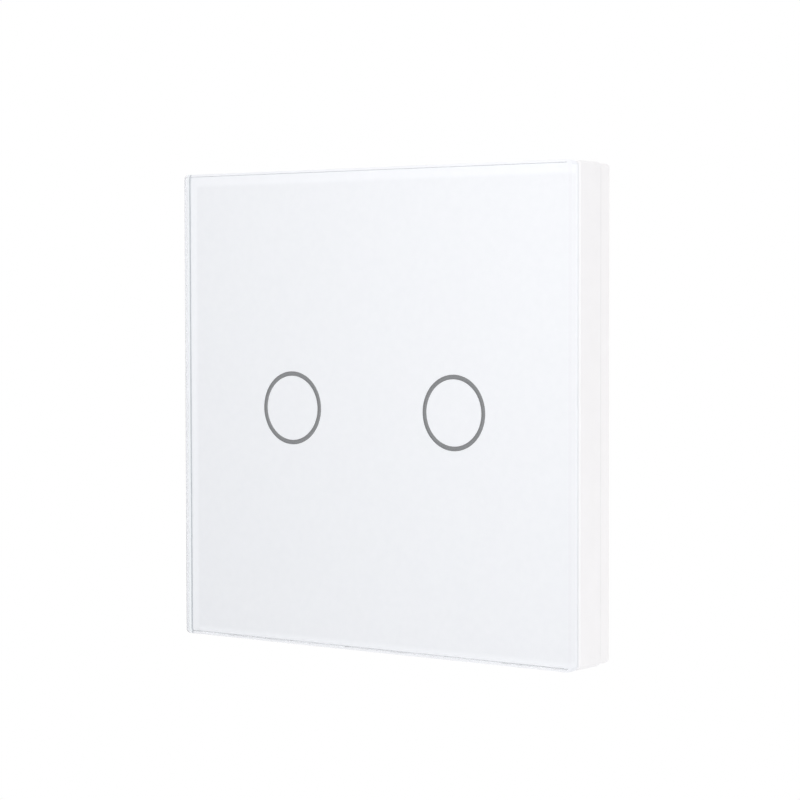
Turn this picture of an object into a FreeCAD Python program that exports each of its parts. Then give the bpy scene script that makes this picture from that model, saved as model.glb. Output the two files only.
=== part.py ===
"""Two-gang wireless touch light switch for a wall, built as an assembly of separate pieces.

A square panel of back-printed glass is taped to a plastic housing that holds a circuit board, two
touch springs, two light guides and a coin cell. The housing clips to a wall plate that is screwed or
taped to the wall. Sizes are in millimetres.

Frame: +Z is up and +X is to the right for someone who faces the switch. The origin is the centre of
the wall plate's back face. The wall is the plane y = 0 and the switch stands out from it along -Y, so
a place is given here by its standoff, the distance from the wall, and y is minus the standoff.
"""

import FreeCAD
import Part

import math
import os

Vector = FreeCAD.Vector
OUT = Vector(0, -1, 0)

# Glass panel and its print
PANEL_SIDE = 86.0
GLASS_THICKNESS = 2.6
GLASS_CORNER_RADIUS = 0.85
GLASS_CHAMFER = 0.4
INK_THICKNESS = 0.1
INK_MARGIN = 0.15
INK_CORNER_RADIUS = 0.4
RING_SPACING = 36.0
RING_OUTER_RADIUS = 6.65
RING_LINE_WIDTH = 0.8

# Tape between the glass and the housing
TAPE_THICKNESS = 0.2
TAPE_INSET = 1.6
TAPE_WIDTH = 5.0
TAPE_CORNER_RADIUS = 1.5

# Front housing
GLASS_OVERHANG = 0.02
HOUSING_WALL = 1.8
HOUSING_CORNER_RADIUS = 0.8
HOUSING_CAVITY_RADIUS = 0.8
HOUSING_FRONT_FILLET = 0.4
HOUSING_REAR_FILLET = 0.2
WEB_THICKNESS = 1.2

# Wall plate
PLATE_INSET = 0.22
PLATE_DEPTH = 3.1
PLATE_FLOOR = 1.5
PLATE_WALL = 1.6
PLATE_CORNER_RADIUS = 0.7
PLATE_BACK_FILLET = 0.4
PLATE_FRONT_FILLET = 0.25
REVEAL = 0.2
PLATE_RIB_WIDTH = 1.0
PLATE_RIB_HEIGHT = 0.6
PLATE_RIB_END_GAP = 3.1
PLATE_RIB_FROM_CENTRE = 20.0
PRY_NOTCH_WIDTH = 10.0
PRY_NOTCH_DEPTH = 1.2
ARROW_SIZE = 5.0
ARROW_HEIGHT = 0.3
ARROW_FROM_CENTRE = 29.0

# Holes for the wall screws: 60.3 mm apart, as on a standard wall box
SCREW_SLOT_SPACING = 60.3
SCREW_SLOT_WIDTH = 4.2
SCREW_SLOT_LENGTH = 7.0
SCREW_RECESS_MARGIN = 2.2
SCREW_RECESS_DEPTH = 0.6

# Foam pads that stick the plate to a wall
PAD_WIDTH = 60.0
PAD_HEIGHT = 14.0
PAD_THICKNESS = 0.8
PAD_CORNER_RADIUS = 2.0
PAD_FROM_CENTRE = 26.0

# Snap tongues on the wall plate
TONGUE_WIDTH = 8.0
TONGUE_THICKNESS = 1.2
TONGUE_SPACING = 44.0
TONGUE_FROM_EDGE = 2.6
BARB_REACH = 0.3
BARB_LENGTH = 0.7
BARB_GAP = 0.15
SLOT_CLEARANCE = 0.4

# Rear cover of the module
COVER_THICKNESS = 1.0
COVER_CLEARANCE = 0.15
WINDOW_LIP_WIDTH = 1.0
WINDOW_LIP_HEIGHT = 0.8
WINDOW_CORNER_RADIUS = 3.0
WINDOW_MARGIN = 0.8

# Screws that hold the cover and the board
COVER_SCREW_RADIUS = 1.0
COVER_SCREW_HEAD_RADIUS = 1.9
COVER_SCREW_HEAD_HEIGHT = 1.0
COVER_SCREW_LENGTH = 4.0
COVER_BOSS_RADIUS = 2.5
COVER_BOSS_FROM_WALL = 4.1
BOARD_SCREW_RADIUS = 0.8
BOARD_SCREW_HEAD_RADIUS = 1.5
BOARD_SCREW_HEAD_HEIGHT = 0.8
BOARD_SCREW_LENGTH = 2.2
BOARD_BOSS_RADIUS = 2.2
BOARD_SCREW_FROM_EDGE = 4.0
SCREW_CLEARANCE = 0.05
THROUGH_CLEARANCE = 0.3
RECESS_WIDTH = 0.5
RECESS_DEPTH = 0.45
GUSSET_THICKNESS = 1.0
GUSSET_SETBACK = 1.0

# Circuit board
BOARD_MARGIN = 7.15
BOARD_THICKNESS = 1.0
BOARD_CORNER_RADIUS = 2.0
BOARD_STANDOFF = 1.65
COVER_TO_BOARD = 1.8

# Light guides, touch springs and lamps behind the rings
GUIDE_OUTER_MARGIN = 0.65
GUIDE_INNER_MARGIN = 0.85
GUIDE_FLANGE_WIDTH = 1.1
GUIDE_FLANGE_THICKNESS = 0.5
GUIDE_CLEARANCE = 0.15
GUIDE_INK_GAP = 0.05
LED_LENGTH = 1.6
LED_WIDTH = 0.8
LED_HEIGHT = 0.5
LED_GAP = 0.1
LEDS_PER_RING = 4
SPRING_RADIUS = 3.6
SPRING_WIRE = 0.4
SPRING_TURNS = 2.5

# Coin cell, its clip and its negative contact
CELL_RADIUS = 10.0
CELL_THICKNESS = 3.2
CELL_EDGE_FILLET = 0.5
CELL_WALL = 0.25
CELL_CAP_PROUD = 0.25
CELL_GASKET_WALL = 0.85
CELL_GASKET_FLOOR = 0.6
CELL_FROM_CENTRE = -10.0
CONTACT_RADIUS = 6.0
CONTACT_THICKNESS = 0.1
CONTACT_BUTTON_RADIUS = 2.0
CONTACT_BUTTON_HEIGHT = 0.15
CELL_CONTACT_GAP = 0.05
CLIP_THICKNESS = 0.3
CLIP_WIDTH = 12.0
CLIP_FOOT = 2.0
CLIP_CELL_GAP = 0.05
CLIP_SIDE_GAP = 0.2
CLIP_STOP_WIDTH = 6.0
CELL_EXTRA_TRAVEL = 1.0

# Pairing button and its switch
BUTTON_FROM_SIDE_EDGE = 8.0
BUTTON_FROM_TOP_EDGE = 12.0
BUTTON_RADIUS = 1.8
BUTTON_CLEARANCE = 0.15
BUTTON_PROUD = 0.5
BUTTON_FLANGE_WIDTH = 0.9
BUTTON_FLANGE_THICKNESS = 0.3
BUTTON_FLANGE_GAP = 0.04
NIB_RADIUS = 0.9
NIB_CLEARANCE = 0.1
PAIRING_SWITCH_SIDE = 4.6
PAIRING_SWITCH_HEIGHT = 0.75
DOME_RADIUS = 1.3
DOME_THICKNESS = 0.1
PRESS_TRAVEL = 0.25
PRESS_END_GAP = 0.05
SWITCH_BORE_FLOOR = 0.15

# Parts on the board
CHIP_LENGTH = 4.9
CHIP_WIDTH = 3.9
CHIP_HEIGHT = 0.9
CHIP_STAND = 0.1
CHIP_Z = 9.0
PIN_COUNT = 4
PIN_PITCH = 1.27
PIN_WIDTH = 0.4
PIN_REACH = 1.0
PIN_THICKNESS = 0.15
RADIO_SIDE = 4.0
RADIO_HEIGHT = 0.85
RADIO_Z = -14.0
CRYSTAL_LENGTH = 3.2
CRYSTAL_WIDTH = 2.5
CRYSTAL_HEIGHT = 0.7
CRYSTAL_X = 6.5
CRYSTAL_LID_STEP = 0.2
CAPACITOR_SIZE = (1.6, 0.8, 0.8)
CAPACITOR_COUNT = 6
RESISTOR_SIZE = (1.6, 0.8, 0.45)
RESISTOR_COUNT = 6
CHIP_ROW_PITCH = 2.6
CAPACITOR_ROW_Z = -21.0
RESISTOR_ROW_Z = 17.0

# Coil antenna in a notch of the board's lower edge
ANTENNA_WIRE = 0.5
ANTENNA_RADIUS = 1.3
ANTENNA_TURNS = 8
ANTENNA_PITCH = 1.4
ANTENNA_GAP = 0.15

# Standoffs from the wall, worked out from the sizes above. The housing is as deep as what it holds
HOUSING_DEPTH = COVER_THICKNESS + COVER_TO_BOARD + BOARD_THICKNESS + BOARD_STANDOFF + WEB_THICKNESS
HOUSING_BACK = PLATE_DEPTH + REVEAL
HOUSING_FRONT = HOUSING_BACK + HOUSING_DEPTH
WEB_BACK = HOUSING_FRONT - WEB_THICKNESS
TAPE_FRONT = HOUSING_FRONT + TAPE_THICKNESS
INK_FRONT = TAPE_FRONT + INK_THICKNESS
GLASS_FRONT = INK_FRONT + GLASS_THICKNESS
BOARD_FRONT = WEB_BACK - BOARD_STANDOFF
BOARD_BACK = BOARD_FRONT - BOARD_THICKNESS
COVER_FRONT = HOUSING_BACK + COVER_THICKNESS
CELL_FRONT = BOARD_BACK - CONTACT_THICKNESS - CONTACT_BUTTON_HEIGHT - CELL_CONTACT_GAP
CELL_BACK = CELL_FRONT - CELL_THICKNESS
CLIP_FRONT = CELL_BACK - CLIP_CELL_GAP
CLIP_BACK = CLIP_FRONT - CLIP_THICKNESS
SPRING_PITCH = (TAPE_FRONT - BOARD_FRONT - SPRING_WIRE) / SPRING_TURNS

# Widths and places that follow from the sizes above
HOUSING_SIDE = PANEL_SIDE - 2 * GLASS_OVERHANG
CAVITY_SIDE = HOUSING_SIDE - 2 * HOUSING_WALL
COVER_SIDE = CAVITY_SIDE - 2 * COVER_CLEARANCE
PLATE_SIDE = HOUSING_SIDE - 2 * PLATE_INSET
TAPE_SIDE = PANEL_SIDE - 2 * TAPE_INSET
INK_SIDE = PANEL_SIDE - 2 * (GLASS_CHAMFER + INK_MARGIN)
RING_X = RING_SPACING / 2
RING_INNER_RADIUS = RING_OUTER_RADIUS - RING_LINE_WIDTH
GUIDE_OUTER_RADIUS = RING_OUTER_RADIUS + GUIDE_OUTER_MARGIN
GUIDE_INNER_RADIUS = RING_INNER_RADIUS - GUIDE_INNER_MARGIN
GUIDE_FLANGE_RADIUS = GUIDE_OUTER_RADIUS + GUIDE_FLANGE_WIDTH
TONGUE_Z = CAVITY_SIDE / 2 - TONGUE_FROM_EDGE
COVER_BOSS = CAVITY_SIDE / 2 - COVER_BOSS_FROM_WALL
BOARD_SIDE = CAVITY_SIDE - 2 * BOARD_MARGIN
BOARD_BOSS = BOARD_SIDE / 2 - BOARD_SCREW_FROM_EDGE
PLATE_RIB_LENGTH = PLATE_SIDE - 2 * (PLATE_WALL + PLATE_RIB_END_GAP)
BUTTON_X = BOARD_SIDE / 2 - BUTTON_FROM_SIDE_EDGE
BUTTON_Z = BOARD_SIDE / 2 - BUTTON_FROM_TOP_EDGE
BUTTON_FLANGE_RADIUS = BUTTON_RADIUS + BUTTON_FLANGE_WIDTH
CELL_X = CELL_FROM_CENTRE
CELL_CAP_RADIUS = CELL_RADIUS - CELL_WALL - CELL_GASKET_WALL
CELL_TRAVEL = CELL_RADIUS + CLIP_WIDTH / 2 + CELL_EXTRA_TRAVEL
CLIP_HALF = CELL_RADIUS + CLIP_SIDE_GAP + CLIP_THICKNESS
WINDOW_LEFT = CELL_X - CLIP_HALF - WINDOW_MARGIN
WINDOW_RIGHT = CELL_X + CELL_TRAVEL + CELL_RADIUS + WINDOW_MARGIN
WINDOW_HALF_HEIGHT = CLIP_HALF + CLIP_FOOT + WINDOW_MARGIN
ANTENNA_LENGTH = ANTENNA_TURNS * ANTENNA_PITCH
ANTENNA_OUTER = ANTENNA_RADIUS + ANTENNA_WIRE / 2
ANTENNA_STANDOFF = (BOARD_FRONT + BOARD_BACK) / 2
ANTENNA_Z = -BOARD_SIDE / 2 + ANTENNA_OUTER + ANTENNA_GAP
CORNERS = [(-1, -1), (1, -1), (1, 1), (-1, 1)]


def place(x, standoff, z):
    """A point in the model's frame from its place across, out from the wall and up."""
    return Vector(x, -standoff, z)


def slab(width, height, back, front, x=0.0, z=0.0):
    """A block centred at (x, z) that fills the standoffs from back to front."""
    corner = place(x - width / 2, front, z - height / 2)
    return Part.makeBox(width, front - back, height, corner)


def round_corners(shape, radius):
    """Rounds the edges that run along Y."""
    upright = [e for e in shape.Edges if abs(e.tangentAt(e.FirstParameter).y) > 0.999]
    return shape.makeFillet(radius, upright)


def plate(width, height, radius, back, front, x=0.0, z=0.0):
    """A slab whose four corners are rounded, as a switch plate's are."""
    return round_corners(slab(width, height, back, front, x, z), radius)


def disc(radius, back, front, x=0.0, z=0.0):
    """A cylinder that points out from the wall."""
    return Part.makeCylinder(radius, front - back, place(x, back, z), OUT)


def tube(outer_radius, inner_radius, back, front, x=0.0, z=0.0):
    """A disc with a round hole through its middle."""
    return disc(outer_radius, back, front, x, z).cut(disc(inner_radius, back, front, x, z))


def oblong(length, width, back, front, x=0.0, z=0.0):
    """A slot-shaped block, long along X, with half-round ends."""
    straight = length - width
    middle = slab(straight, width, back, front, x, z)
    ends = [disc(width / 2, back, front, x + side * straight / 2, z) for side in (-1, 1)]
    return middle.multiFuse(ends).removeSplitter()


def edges_at(shape, standoff):
    """The edges that lie whole in the plane at this standoff."""
    return [e for e in shape.Edges if all(abs(v.Point.y + standoff) < 1e-6 for v in e.Vertexes)]


def arc_from(start, tangent, end):
    """The arc that leaves start along tangent and ends at end."""
    chord = end - start
    along = Vector(chord)
    along.normalize()
    cosine = max(-1.0, min(1.0, tangent.dot(along)))
    side = tangent - along * cosine
    side.normalize()
    rise = chord.Length / 2 * math.tan(math.acos(cosine) / 2)
    return Part.Arc(start, (start + end) * 0.5 + side * rise, end).toShape()


def biarc(start, tangent_a, end, tangent_b):
    """Two arcs that meet smoothly and join two points with the given directions."""
    chord = end - start
    total = tangent_a + tangent_b
    bend = 2 * (1 - tangent_a.dot(tangent_b))
    reach = (-chord.dot(total) + math.sqrt(chord.dot(total) ** 2 + bend * chord.dot(chord))) / bend
    middle = (start + end + (tangent_a - tangent_b) * reach) * 0.5
    back = arc_from(end, tangent_b * -1, middle)
    return [arc_from(start, tangent_a, middle), back]


def helix(radius, pitch, turn, origin, across, upward):
    """The point of a helix about the axis upward after so many turns, and the way it runs there."""
    angle = 2 * math.pi * turn
    sideways = upward.cross(across)
    point = origin + (across * math.cos(angle) + sideways * math.sin(angle)) * radius
    point += upward * (pitch * turn)
    heading = (sideways * math.cos(angle) - across * math.sin(angle)) * (2 * math.pi * radius)
    heading += upward * pitch
    heading.normalize()
    return point, heading


def coil(radius, wire, pitch, turns, origin, across, upward):
    """A round wire wound in a helix, as smooth arcs of a quarter turn or less."""
    quarters = math.ceil(turns * 4)
    places = [turns * number / quarters for number in range(quarters + 1)]
    steps = [helix(radius, pitch, turn, origin, across, upward) for turn in places]
    edges = []
    for (start, leaving), (end, arriving) in zip(steps, steps[1:]):
        edges += biarc(start, leaving, end, arriving)
    path = Part.Wire(Part.__sortEdges__(edges))
    start, leaving = steps[0]
    section = Part.Wire(Part.Circle(start, leaving, wire / 2).toShape())
    return path.makePipeShell([section], True, False)


def least_gap(radius, wire, pitch, turns):
    """The least space between two turns of a coil, measured on points along the wire."""
    per_turn = 24
    frame = (Vector(0, 0, 0), Vector(1, 0, 0), Vector(0, 0, 1))
    count = round(turns * per_turn)
    points = [helix(radius, pitch, number / per_turn, *frame)[0] for number in range(count + 1)]
    pairs = [
        points[low].distanceToPoint(points[high])
        for low in range(count + 1)
        for high in range(low + per_turn // 2, count + 1)
    ]
    return min(pairs) - wire


def glass_panel():
    """The tempered glass front, with a ground and polished chamfer all round."""
    body = plate(PANEL_SIDE, PANEL_SIDE, GLASS_CORNER_RADIUS, INK_FRONT, GLASS_FRONT)
    return body.makeChamfer(GLASS_CHAMFER, edges_at(body, INK_FRONT) + edges_at(body, GLASS_FRONT))


def ring_print(x):
    """One printed ring that marks where to touch."""
    return tube(RING_OUTER_RADIUS, RING_INNER_RADIUS, TAPE_FRONT, INK_FRONT, x)


def touch_ring_prints():
    return Part.makeCompound([ring_print(side * RING_X) for side in (-1, 1)])


def white_backprint():
    """The white ink on the back of the glass: a sheet round both rings, and a disc inside each."""
    sheet = plate(INK_SIDE, INK_SIDE, INK_CORNER_RADIUS, TAPE_FRONT, INK_FRONT)
    holes = [disc(RING_OUTER_RADIUS, TAPE_FRONT, INK_FRONT, side * RING_X) for side in (-1, 1)]
    spots = [disc(RING_INNER_RADIUS, TAPE_FRONT, INK_FRONT, side * RING_X) for side in (-1, 1)]
    return Part.makeCompound([sheet.cut(Part.makeCompound(holes))] + spots)


def glass_tape_frame():
    """Die-cut double-sided tape that bonds the glass to the housing."""
    outer = plate(TAPE_SIDE, TAPE_SIDE, TAPE_CORNER_RADIUS, HOUSING_FRONT, TAPE_FRONT)
    side = TAPE_SIDE - 2 * TAPE_WIDTH
    return outer.cut(plate(side, side, TAPE_CORNER_RADIUS, HOUSING_FRONT, TAPE_FRONT))


def cover_bosses():
    """Four screw posts in the housing's corners, each tied to both walls by a gusset."""
    pieces = []
    reach = CAVITY_SIDE / 2 - COVER_BOSS
    for sx, sz in CORNERS:
        x = sx * COVER_BOSS
        z = sz * COVER_BOSS
        pieces.append(disc(COVER_BOSS_RADIUS, COVER_FRONT, WEB_BACK, x, z))
        low = COVER_FRONT + GUSSET_SETBACK
        pieces.append(slab(reach, GUSSET_THICKNESS, low, WEB_BACK, x + sx * reach / 2, z))
        pieces.append(slab(GUSSET_THICKNESS, reach, low, WEB_BACK, x, z + sz * reach / 2))
    return pieces


def board_bosses():
    return [
        disc(BOARD_BOSS_RADIUS, BOARD_FRONT, WEB_BACK, sx * BOARD_BOSS, sz * BOARD_BOSS)
        for sx, sz in CORNERS
    ]


def front_housing():
    """The moulded tray behind the glass: a web with two light-guide holes, walls and screw posts."""
    outer = plate(HOUSING_SIDE, HOUSING_SIDE, HOUSING_CORNER_RADIUS, HOUSING_BACK, HOUSING_FRONT)
    outer = outer.makeFillet(HOUSING_REAR_FILLET, edges_at(outer, HOUSING_BACK))
    outer = outer.makeFillet(HOUSING_FRONT_FILLET, edges_at(outer, HOUSING_FRONT))
    cavity = plate(CAVITY_SIDE, CAVITY_SIDE, HOUSING_CAVITY_RADIUS, HOUSING_BACK, WEB_BACK)
    body = outer.cut(cavity).multiFuse(cover_bosses() + board_bosses()).removeSplitter()
    cuts = [
        disc(GUIDE_OUTER_RADIUS + GUIDE_CLEARANCE, WEB_BACK, HOUSING_FRONT, side * RING_X)
        for side in (-1, 1)
    ]
    for sx, sz in CORNERS:
        deep = HOUSING_BACK + COVER_SCREW_LENGTH + THROUGH_CLEARANCE
        pilot = COVER_SCREW_RADIUS + SCREW_CLEARANCE
        cuts.append(disc(pilot, COVER_FRONT, deep, sx * COVER_BOSS, sz * COVER_BOSS))
        deep = BOARD_BACK + BOARD_SCREW_LENGTH + THROUGH_CLEARANCE
        pilot = BOARD_SCREW_RADIUS + SCREW_CLEARANCE
        cuts.append(disc(pilot, BOARD_FRONT, deep, sx * BOARD_BOSS, sz * BOARD_BOSS))
    return body.cut(Part.makeCompound(cuts))


def light_guide(x):
    """A clear ring that carries the lamps' light to the printed ring. Its flange lies behind the web."""
    lamp_top = BOARD_FRONT + LED_HEIGHT
    front = TAPE_FRONT - GUIDE_INK_GAP
    ring = tube(GUIDE_OUTER_RADIUS, GUIDE_INNER_RADIUS, lamp_top + LED_GAP, front, x)
    flange_back = WEB_BACK - GUIDE_FLANGE_THICKNESS
    flange = tube(GUIDE_FLANGE_RADIUS, GUIDE_INNER_RADIUS, flange_back, WEB_BACK, x)
    return ring.fuse(flange).removeSplitter()


def touch_spring(x):
    """A wound spring that joins the board to the back of the glass and senses the finger."""
    start = place(x, BOARD_FRONT + SPRING_WIRE / 2, 0)
    return coil(SPRING_RADIUS, SPRING_WIRE, SPRING_PITCH, SPRING_TURNS, start, Vector(1, 0, 0), OUT)


def indicator_leds():
    """The lamps under both light guides."""
    lamps = []
    middle = (GUIDE_OUTER_RADIUS + GUIDE_INNER_RADIUS) / 2
    for side in (-1, 1):
        for number in range(LEDS_PER_RING):
            angle = 360.0 / LEDS_PER_RING * (number + 0.5)
            lamp = slab(LED_WIDTH, LED_LENGTH, BOARD_FRONT, BOARD_FRONT + LED_HEIGHT, middle)
            lamp.rotate(Vector(0, 0, 0), OUT, angle)
            lamp.translate(Vector(side * RING_X, 0, 0))
            lamps.append(lamp)
    return Part.makeCompound(lamps)


def antenna_notch():
    width = ANTENNA_LENGTH + ANTENNA_WIRE + 2 * ANTENNA_GAP
    height = 2 * (ANTENNA_OUTER + ANTENNA_GAP)
    return slab(width, height, BOARD_BACK, BOARD_FRONT, 0, ANTENNA_Z)


def circuit_board():
    board = plate(BOARD_SIDE, BOARD_SIDE, BOARD_CORNER_RADIUS, BOARD_BACK, BOARD_FRONT)
    radius = BOARD_SCREW_RADIUS + THROUGH_CLEARANCE
    holes = [
        disc(radius, BOARD_BACK, BOARD_FRONT, sx * BOARD_BOSS, sz * BOARD_BOSS) for sx, sz in CORNERS
    ]
    return board.cut(Part.makeCompound(holes + [antenna_notch()]))


def antenna_coil():
    """A wound wire aerial that lies in the notch at the board's lower edge."""
    start = place(-ANTENNA_LENGTH / 2, ANTENNA_STANDOFF, ANTENNA_Z)
    up = Vector(0, 0, 1)
    return coil(ANTENNA_RADIUS, ANTENNA_WIRE, ANTENNA_PITCH, ANTENNA_TURNS, start, up, Vector(1, 0, 0))


def touch_controller_chip():
    """A small chip with a row of pins along each long side."""
    low = BOARD_FRONT + CHIP_STAND
    body = slab(CHIP_LENGTH, CHIP_WIDTH, low, low + CHIP_HEIGHT, 0, CHIP_Z)
    level = low + CHIP_HEIGHT / 2
    half_reach = PIN_REACH / 2
    foot_front = BOARD_FRONT + PIN_THICKNESS
    pins = []
    for side in (-1, 1):
        for number in range(PIN_COUNT):
            x = (number - (PIN_COUNT - 1) / 2) * PIN_PITCH
            edge = CHIP_Z + side * CHIP_WIDTH / 2
            shoulder = edge + side * half_reach / 2
            pins.append(slab(PIN_WIDTH, half_reach, level, level + PIN_THICKNESS, x, shoulder))
            knee = edge + side * (half_reach - PIN_THICKNESS / 2)
            pins.append(slab(PIN_WIDTH, PIN_THICKNESS, BOARD_FRONT, level + PIN_THICKNESS, x, knee))
            foot = edge + side * half_reach * 1.5
            pins.append(slab(PIN_WIDTH, half_reach, BOARD_FRONT, foot_front, x, foot))
    return body.multiFuse(pins).removeSplitter()


def radio_chip():
    return slab(RADIO_SIDE, RADIO_SIDE, BOARD_FRONT, BOARD_FRONT + RADIO_HEIGHT, 0, RADIO_Z)


def crystal_can():
    """The quartz crystal: a ceramic base under a slightly smaller metal lid."""
    half = BOARD_FRONT + CRYSTAL_HEIGHT / 2
    top = BOARD_FRONT + CRYSTAL_HEIGHT
    base = slab(CRYSTAL_WIDTH, CRYSTAL_LENGTH, BOARD_FRONT, half, CRYSTAL_X, RADIO_Z)
    inset = 2 * CRYSTAL_LID_STEP
    lid = slab(CRYSTAL_WIDTH - inset, CRYSTAL_LENGTH - inset, half, top, CRYSTAL_X, RADIO_Z)
    return base.fuse(lid)


def chip_row(size, count, z):
    """A row of small two-ended parts on the front of the board."""
    length, width, height = size
    places = [(number - (count - 1) / 2) * CHIP_ROW_PITCH for number in range(count)]
    return Part.makeCompound([slab(width, length, BOARD_FRONT, BOARD_FRONT + height, x, z) for x in places])


def chip_capacitors():
    return chip_row(CAPACITOR_SIZE, CAPACITOR_COUNT, CAPACITOR_ROW_Z)


def chip_resistors():
    return chip_row(RESISTOR_SIZE, RESISTOR_COUNT, RESISTOR_ROW_Z)


def negative_contact():
    """The plated pad on the board, with the button that the cell's cap rests on."""
    pad_back = BOARD_BACK - CONTACT_THICKNESS
    pad = disc(CONTACT_RADIUS, pad_back, BOARD_BACK, CELL_X)
    button = disc(CONTACT_BUTTON_RADIUS, pad_back - CONTACT_BUTTON_HEIGHT, pad_back, CELL_X)
    return pad.fuse(button)


def battery_clip():
    """A bent strip that grips the cell: a strap behind it, two legs, soldered feet and an end stop."""
    strap = slab(CLIP_WIDTH, 2 * CLIP_HALF, CLIP_BACK, CLIP_FRONT, CELL_X)
    pieces = []
    for side in (-1, 1):
        leg_z = side * (CLIP_HALF - CLIP_THICKNESS / 2)
        pieces.append(slab(CLIP_WIDTH, CLIP_THICKNESS, CLIP_BACK, BOARD_BACK, CELL_X, leg_z))
        foot_z = side * (CLIP_HALF + CLIP_FOOT / 2)
        pieces.append(
            slab(CLIP_WIDTH, CLIP_FOOT, BOARD_BACK - CLIP_THICKNESS, BOARD_BACK, CELL_X, foot_z)
        )
    stop_x = CELL_X - CLIP_HALF + CLIP_THICKNESS / 2
    arm = CLIP_HALF - CLIP_WIDTH / 2
    arm_x = CELL_X - CLIP_WIDTH / 2 - arm / 2
    pieces.append(slab(arm, CLIP_STOP_WIDTH, CLIP_BACK, CLIP_FRONT, arm_x))
    pieces.append(slab(CLIP_THICKNESS, CLIP_STOP_WIDTH, CLIP_BACK, BOARD_BACK, stop_x))
    return strap.multiFuse(pieces).removeSplitter()


def coin_cell_can():
    """The cell's positive case: a shallow cup that opens towards the board."""
    front = CELL_FRONT - CELL_CAP_PROUD
    outer = disc(CELL_RADIUS, CELL_BACK, front, CELL_X)
    outer = outer.makeFillet(CELL_EDGE_FILLET, edges_at(outer, CELL_BACK))
    hollow = disc(CELL_RADIUS - CELL_WALL, CELL_BACK + CELL_WALL, front, CELL_X)
    return outer.cut(hollow)


def coin_cell_cap():
    """The cell's negative cap, with what the cell holds, inside the gasket."""
    return disc(CELL_CAP_RADIUS, CELL_BACK + CELL_WALL + CELL_GASKET_FLOOR, CELL_FRONT, CELL_X)


def coin_cell_gasket():
    """The plastic seal between the case and the cap."""
    front = CELL_FRONT - CELL_CAP_PROUD
    cup = disc(CELL_RADIUS - CELL_WALL, CELL_BACK + CELL_WALL, front, CELL_X)
    return cup.cut(disc(CELL_CAP_RADIUS, CELL_BACK + CELL_WALL + CELL_GASKET_FLOOR, front, CELL_X))


def pairing_switch_base():
    """The low push switch on the back of the board, with a bore for the button's nib."""
    back = BOARD_BACK - PAIRING_SWITCH_HEIGHT
    body = slab(PAIRING_SWITCH_SIDE, PAIRING_SWITCH_SIDE, back, BOARD_BACK, BUTTON_X, BUTTON_Z)
    floor = BOARD_BACK - SWITCH_BORE_FLOOR
    dome_room = DOME_THICKNESS + PRESS_END_GAP
    bore = disc(NIB_RADIUS + NIB_CLEARANCE, back, floor, BUTTON_X, BUTTON_Z)
    chamber = disc(DOME_RADIUS, floor - dome_room, floor, BUTTON_X, BUTTON_Z)
    return body.cut(bore.fuse(chamber))


def pairing_switch_dome():
    """The snap disc at the bottom of the switch's bore."""
    floor = BOARD_BACK - SWITCH_BORE_FLOOR
    return disc(DOME_RADIUS - NIB_CLEARANCE, floor - DOME_THICKNESS, floor, BUTTON_X, BUTTON_Z)


def pairing_button():
    """A round plunger in the cover: a stem, a flange that keeps it in, and a nib that meets the dome."""
    flange_back = COVER_FRONT + BUTTON_FLANGE_GAP
    flange_front = flange_back + BUTTON_FLANGE_THICKNESS
    dome_back = BOARD_BACK - SWITCH_BORE_FLOOR - DOME_THICKNESS
    nib_front = dome_back - PRESS_END_GAP - PRESS_TRAVEL
    stem = disc(BUTTON_RADIUS, HOUSING_BACK - BUTTON_PROUD, flange_back, BUTTON_X, BUTTON_Z)
    flange = disc(BUTTON_FLANGE_RADIUS, flange_back, flange_front, BUTTON_X, BUTTON_Z)
    nib = disc(NIB_RADIUS, flange_front, nib_front, BUTTON_X, BUTTON_Z)
    return stem.multiFuse([flange, nib])


def tongue_places():
    """Where the four snap tongues stand: two along the top edge and two along the bottom."""
    return [(sx * TONGUE_SPACING / 2, sz) for sx, sz in CORNERS]


def rear_cover():
    """The plate that closes the housing, with a window for the cell and slots for the tongues."""
    body = plate(COVER_SIDE, COVER_SIDE, HOUSING_CAVITY_RADIUS, HOUSING_BACK, COVER_FRONT)
    width = WINDOW_RIGHT - WINDOW_LEFT
    height = 2 * WINDOW_HALF_HEIGHT
    middle = (WINDOW_RIGHT + WINDOW_LEFT) / 2
    lip = 2 * WINDOW_LIP_WIDTH
    low = HOUSING_BACK - WINDOW_LIP_HEIGHT
    radius = WINDOW_CORNER_RADIUS + WINDOW_LIP_WIDTH
    body = body.fuse(plate(width + lip, height + lip, radius, low, HOUSING_BACK, middle))
    cuts = [plate(width, height, WINDOW_CORNER_RADIUS, low, COVER_FRONT, middle)]
    for x, sz in tongue_places():
        slot_width = TONGUE_WIDTH + 2 * SLOT_CLEARANCE
        slot_height = TONGUE_THICKNESS + 2 * SLOT_CLEARANCE
        cuts.append(slab(slot_width, slot_height, HOUSING_BACK, COVER_FRONT, x, sz * TONGUE_Z))
    hole = COVER_SCREW_RADIUS + THROUGH_CLEARANCE
    for sx, sz in CORNERS:
        cuts.append(disc(hole, HOUSING_BACK, COVER_FRONT, sx * COVER_BOSS, sz * COVER_BOSS))
    cuts.append(disc(BUTTON_RADIUS + BUTTON_CLEARANCE, HOUSING_BACK, COVER_FRONT, BUTTON_X, BUTTON_Z))
    return body.cut(Part.makeCompound(cuts)).removeSplitter()


def screw(x, z, seat, radius, length, head_radius, head_height):
    """A pan-head screw driven from behind. seat is the standoff of the face under its head."""
    head = disc(head_radius, seat - head_height, seat, x, z)
    head = head.makeFillet(head_height / 2, edges_at(head, seat - head_height))
    shank = disc(radius, seat, seat + length, x, z)
    bottom = seat - head_height + RECESS_DEPTH
    arms = [
        slab(head_radius, RECESS_WIDTH, seat - head_height, bottom, x, z),
        slab(RECESS_WIDTH, head_radius, seat - head_height, bottom, x, z),
    ]
    return head.fuse(shank).cut(arms[0].fuse(arms[1]))


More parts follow.
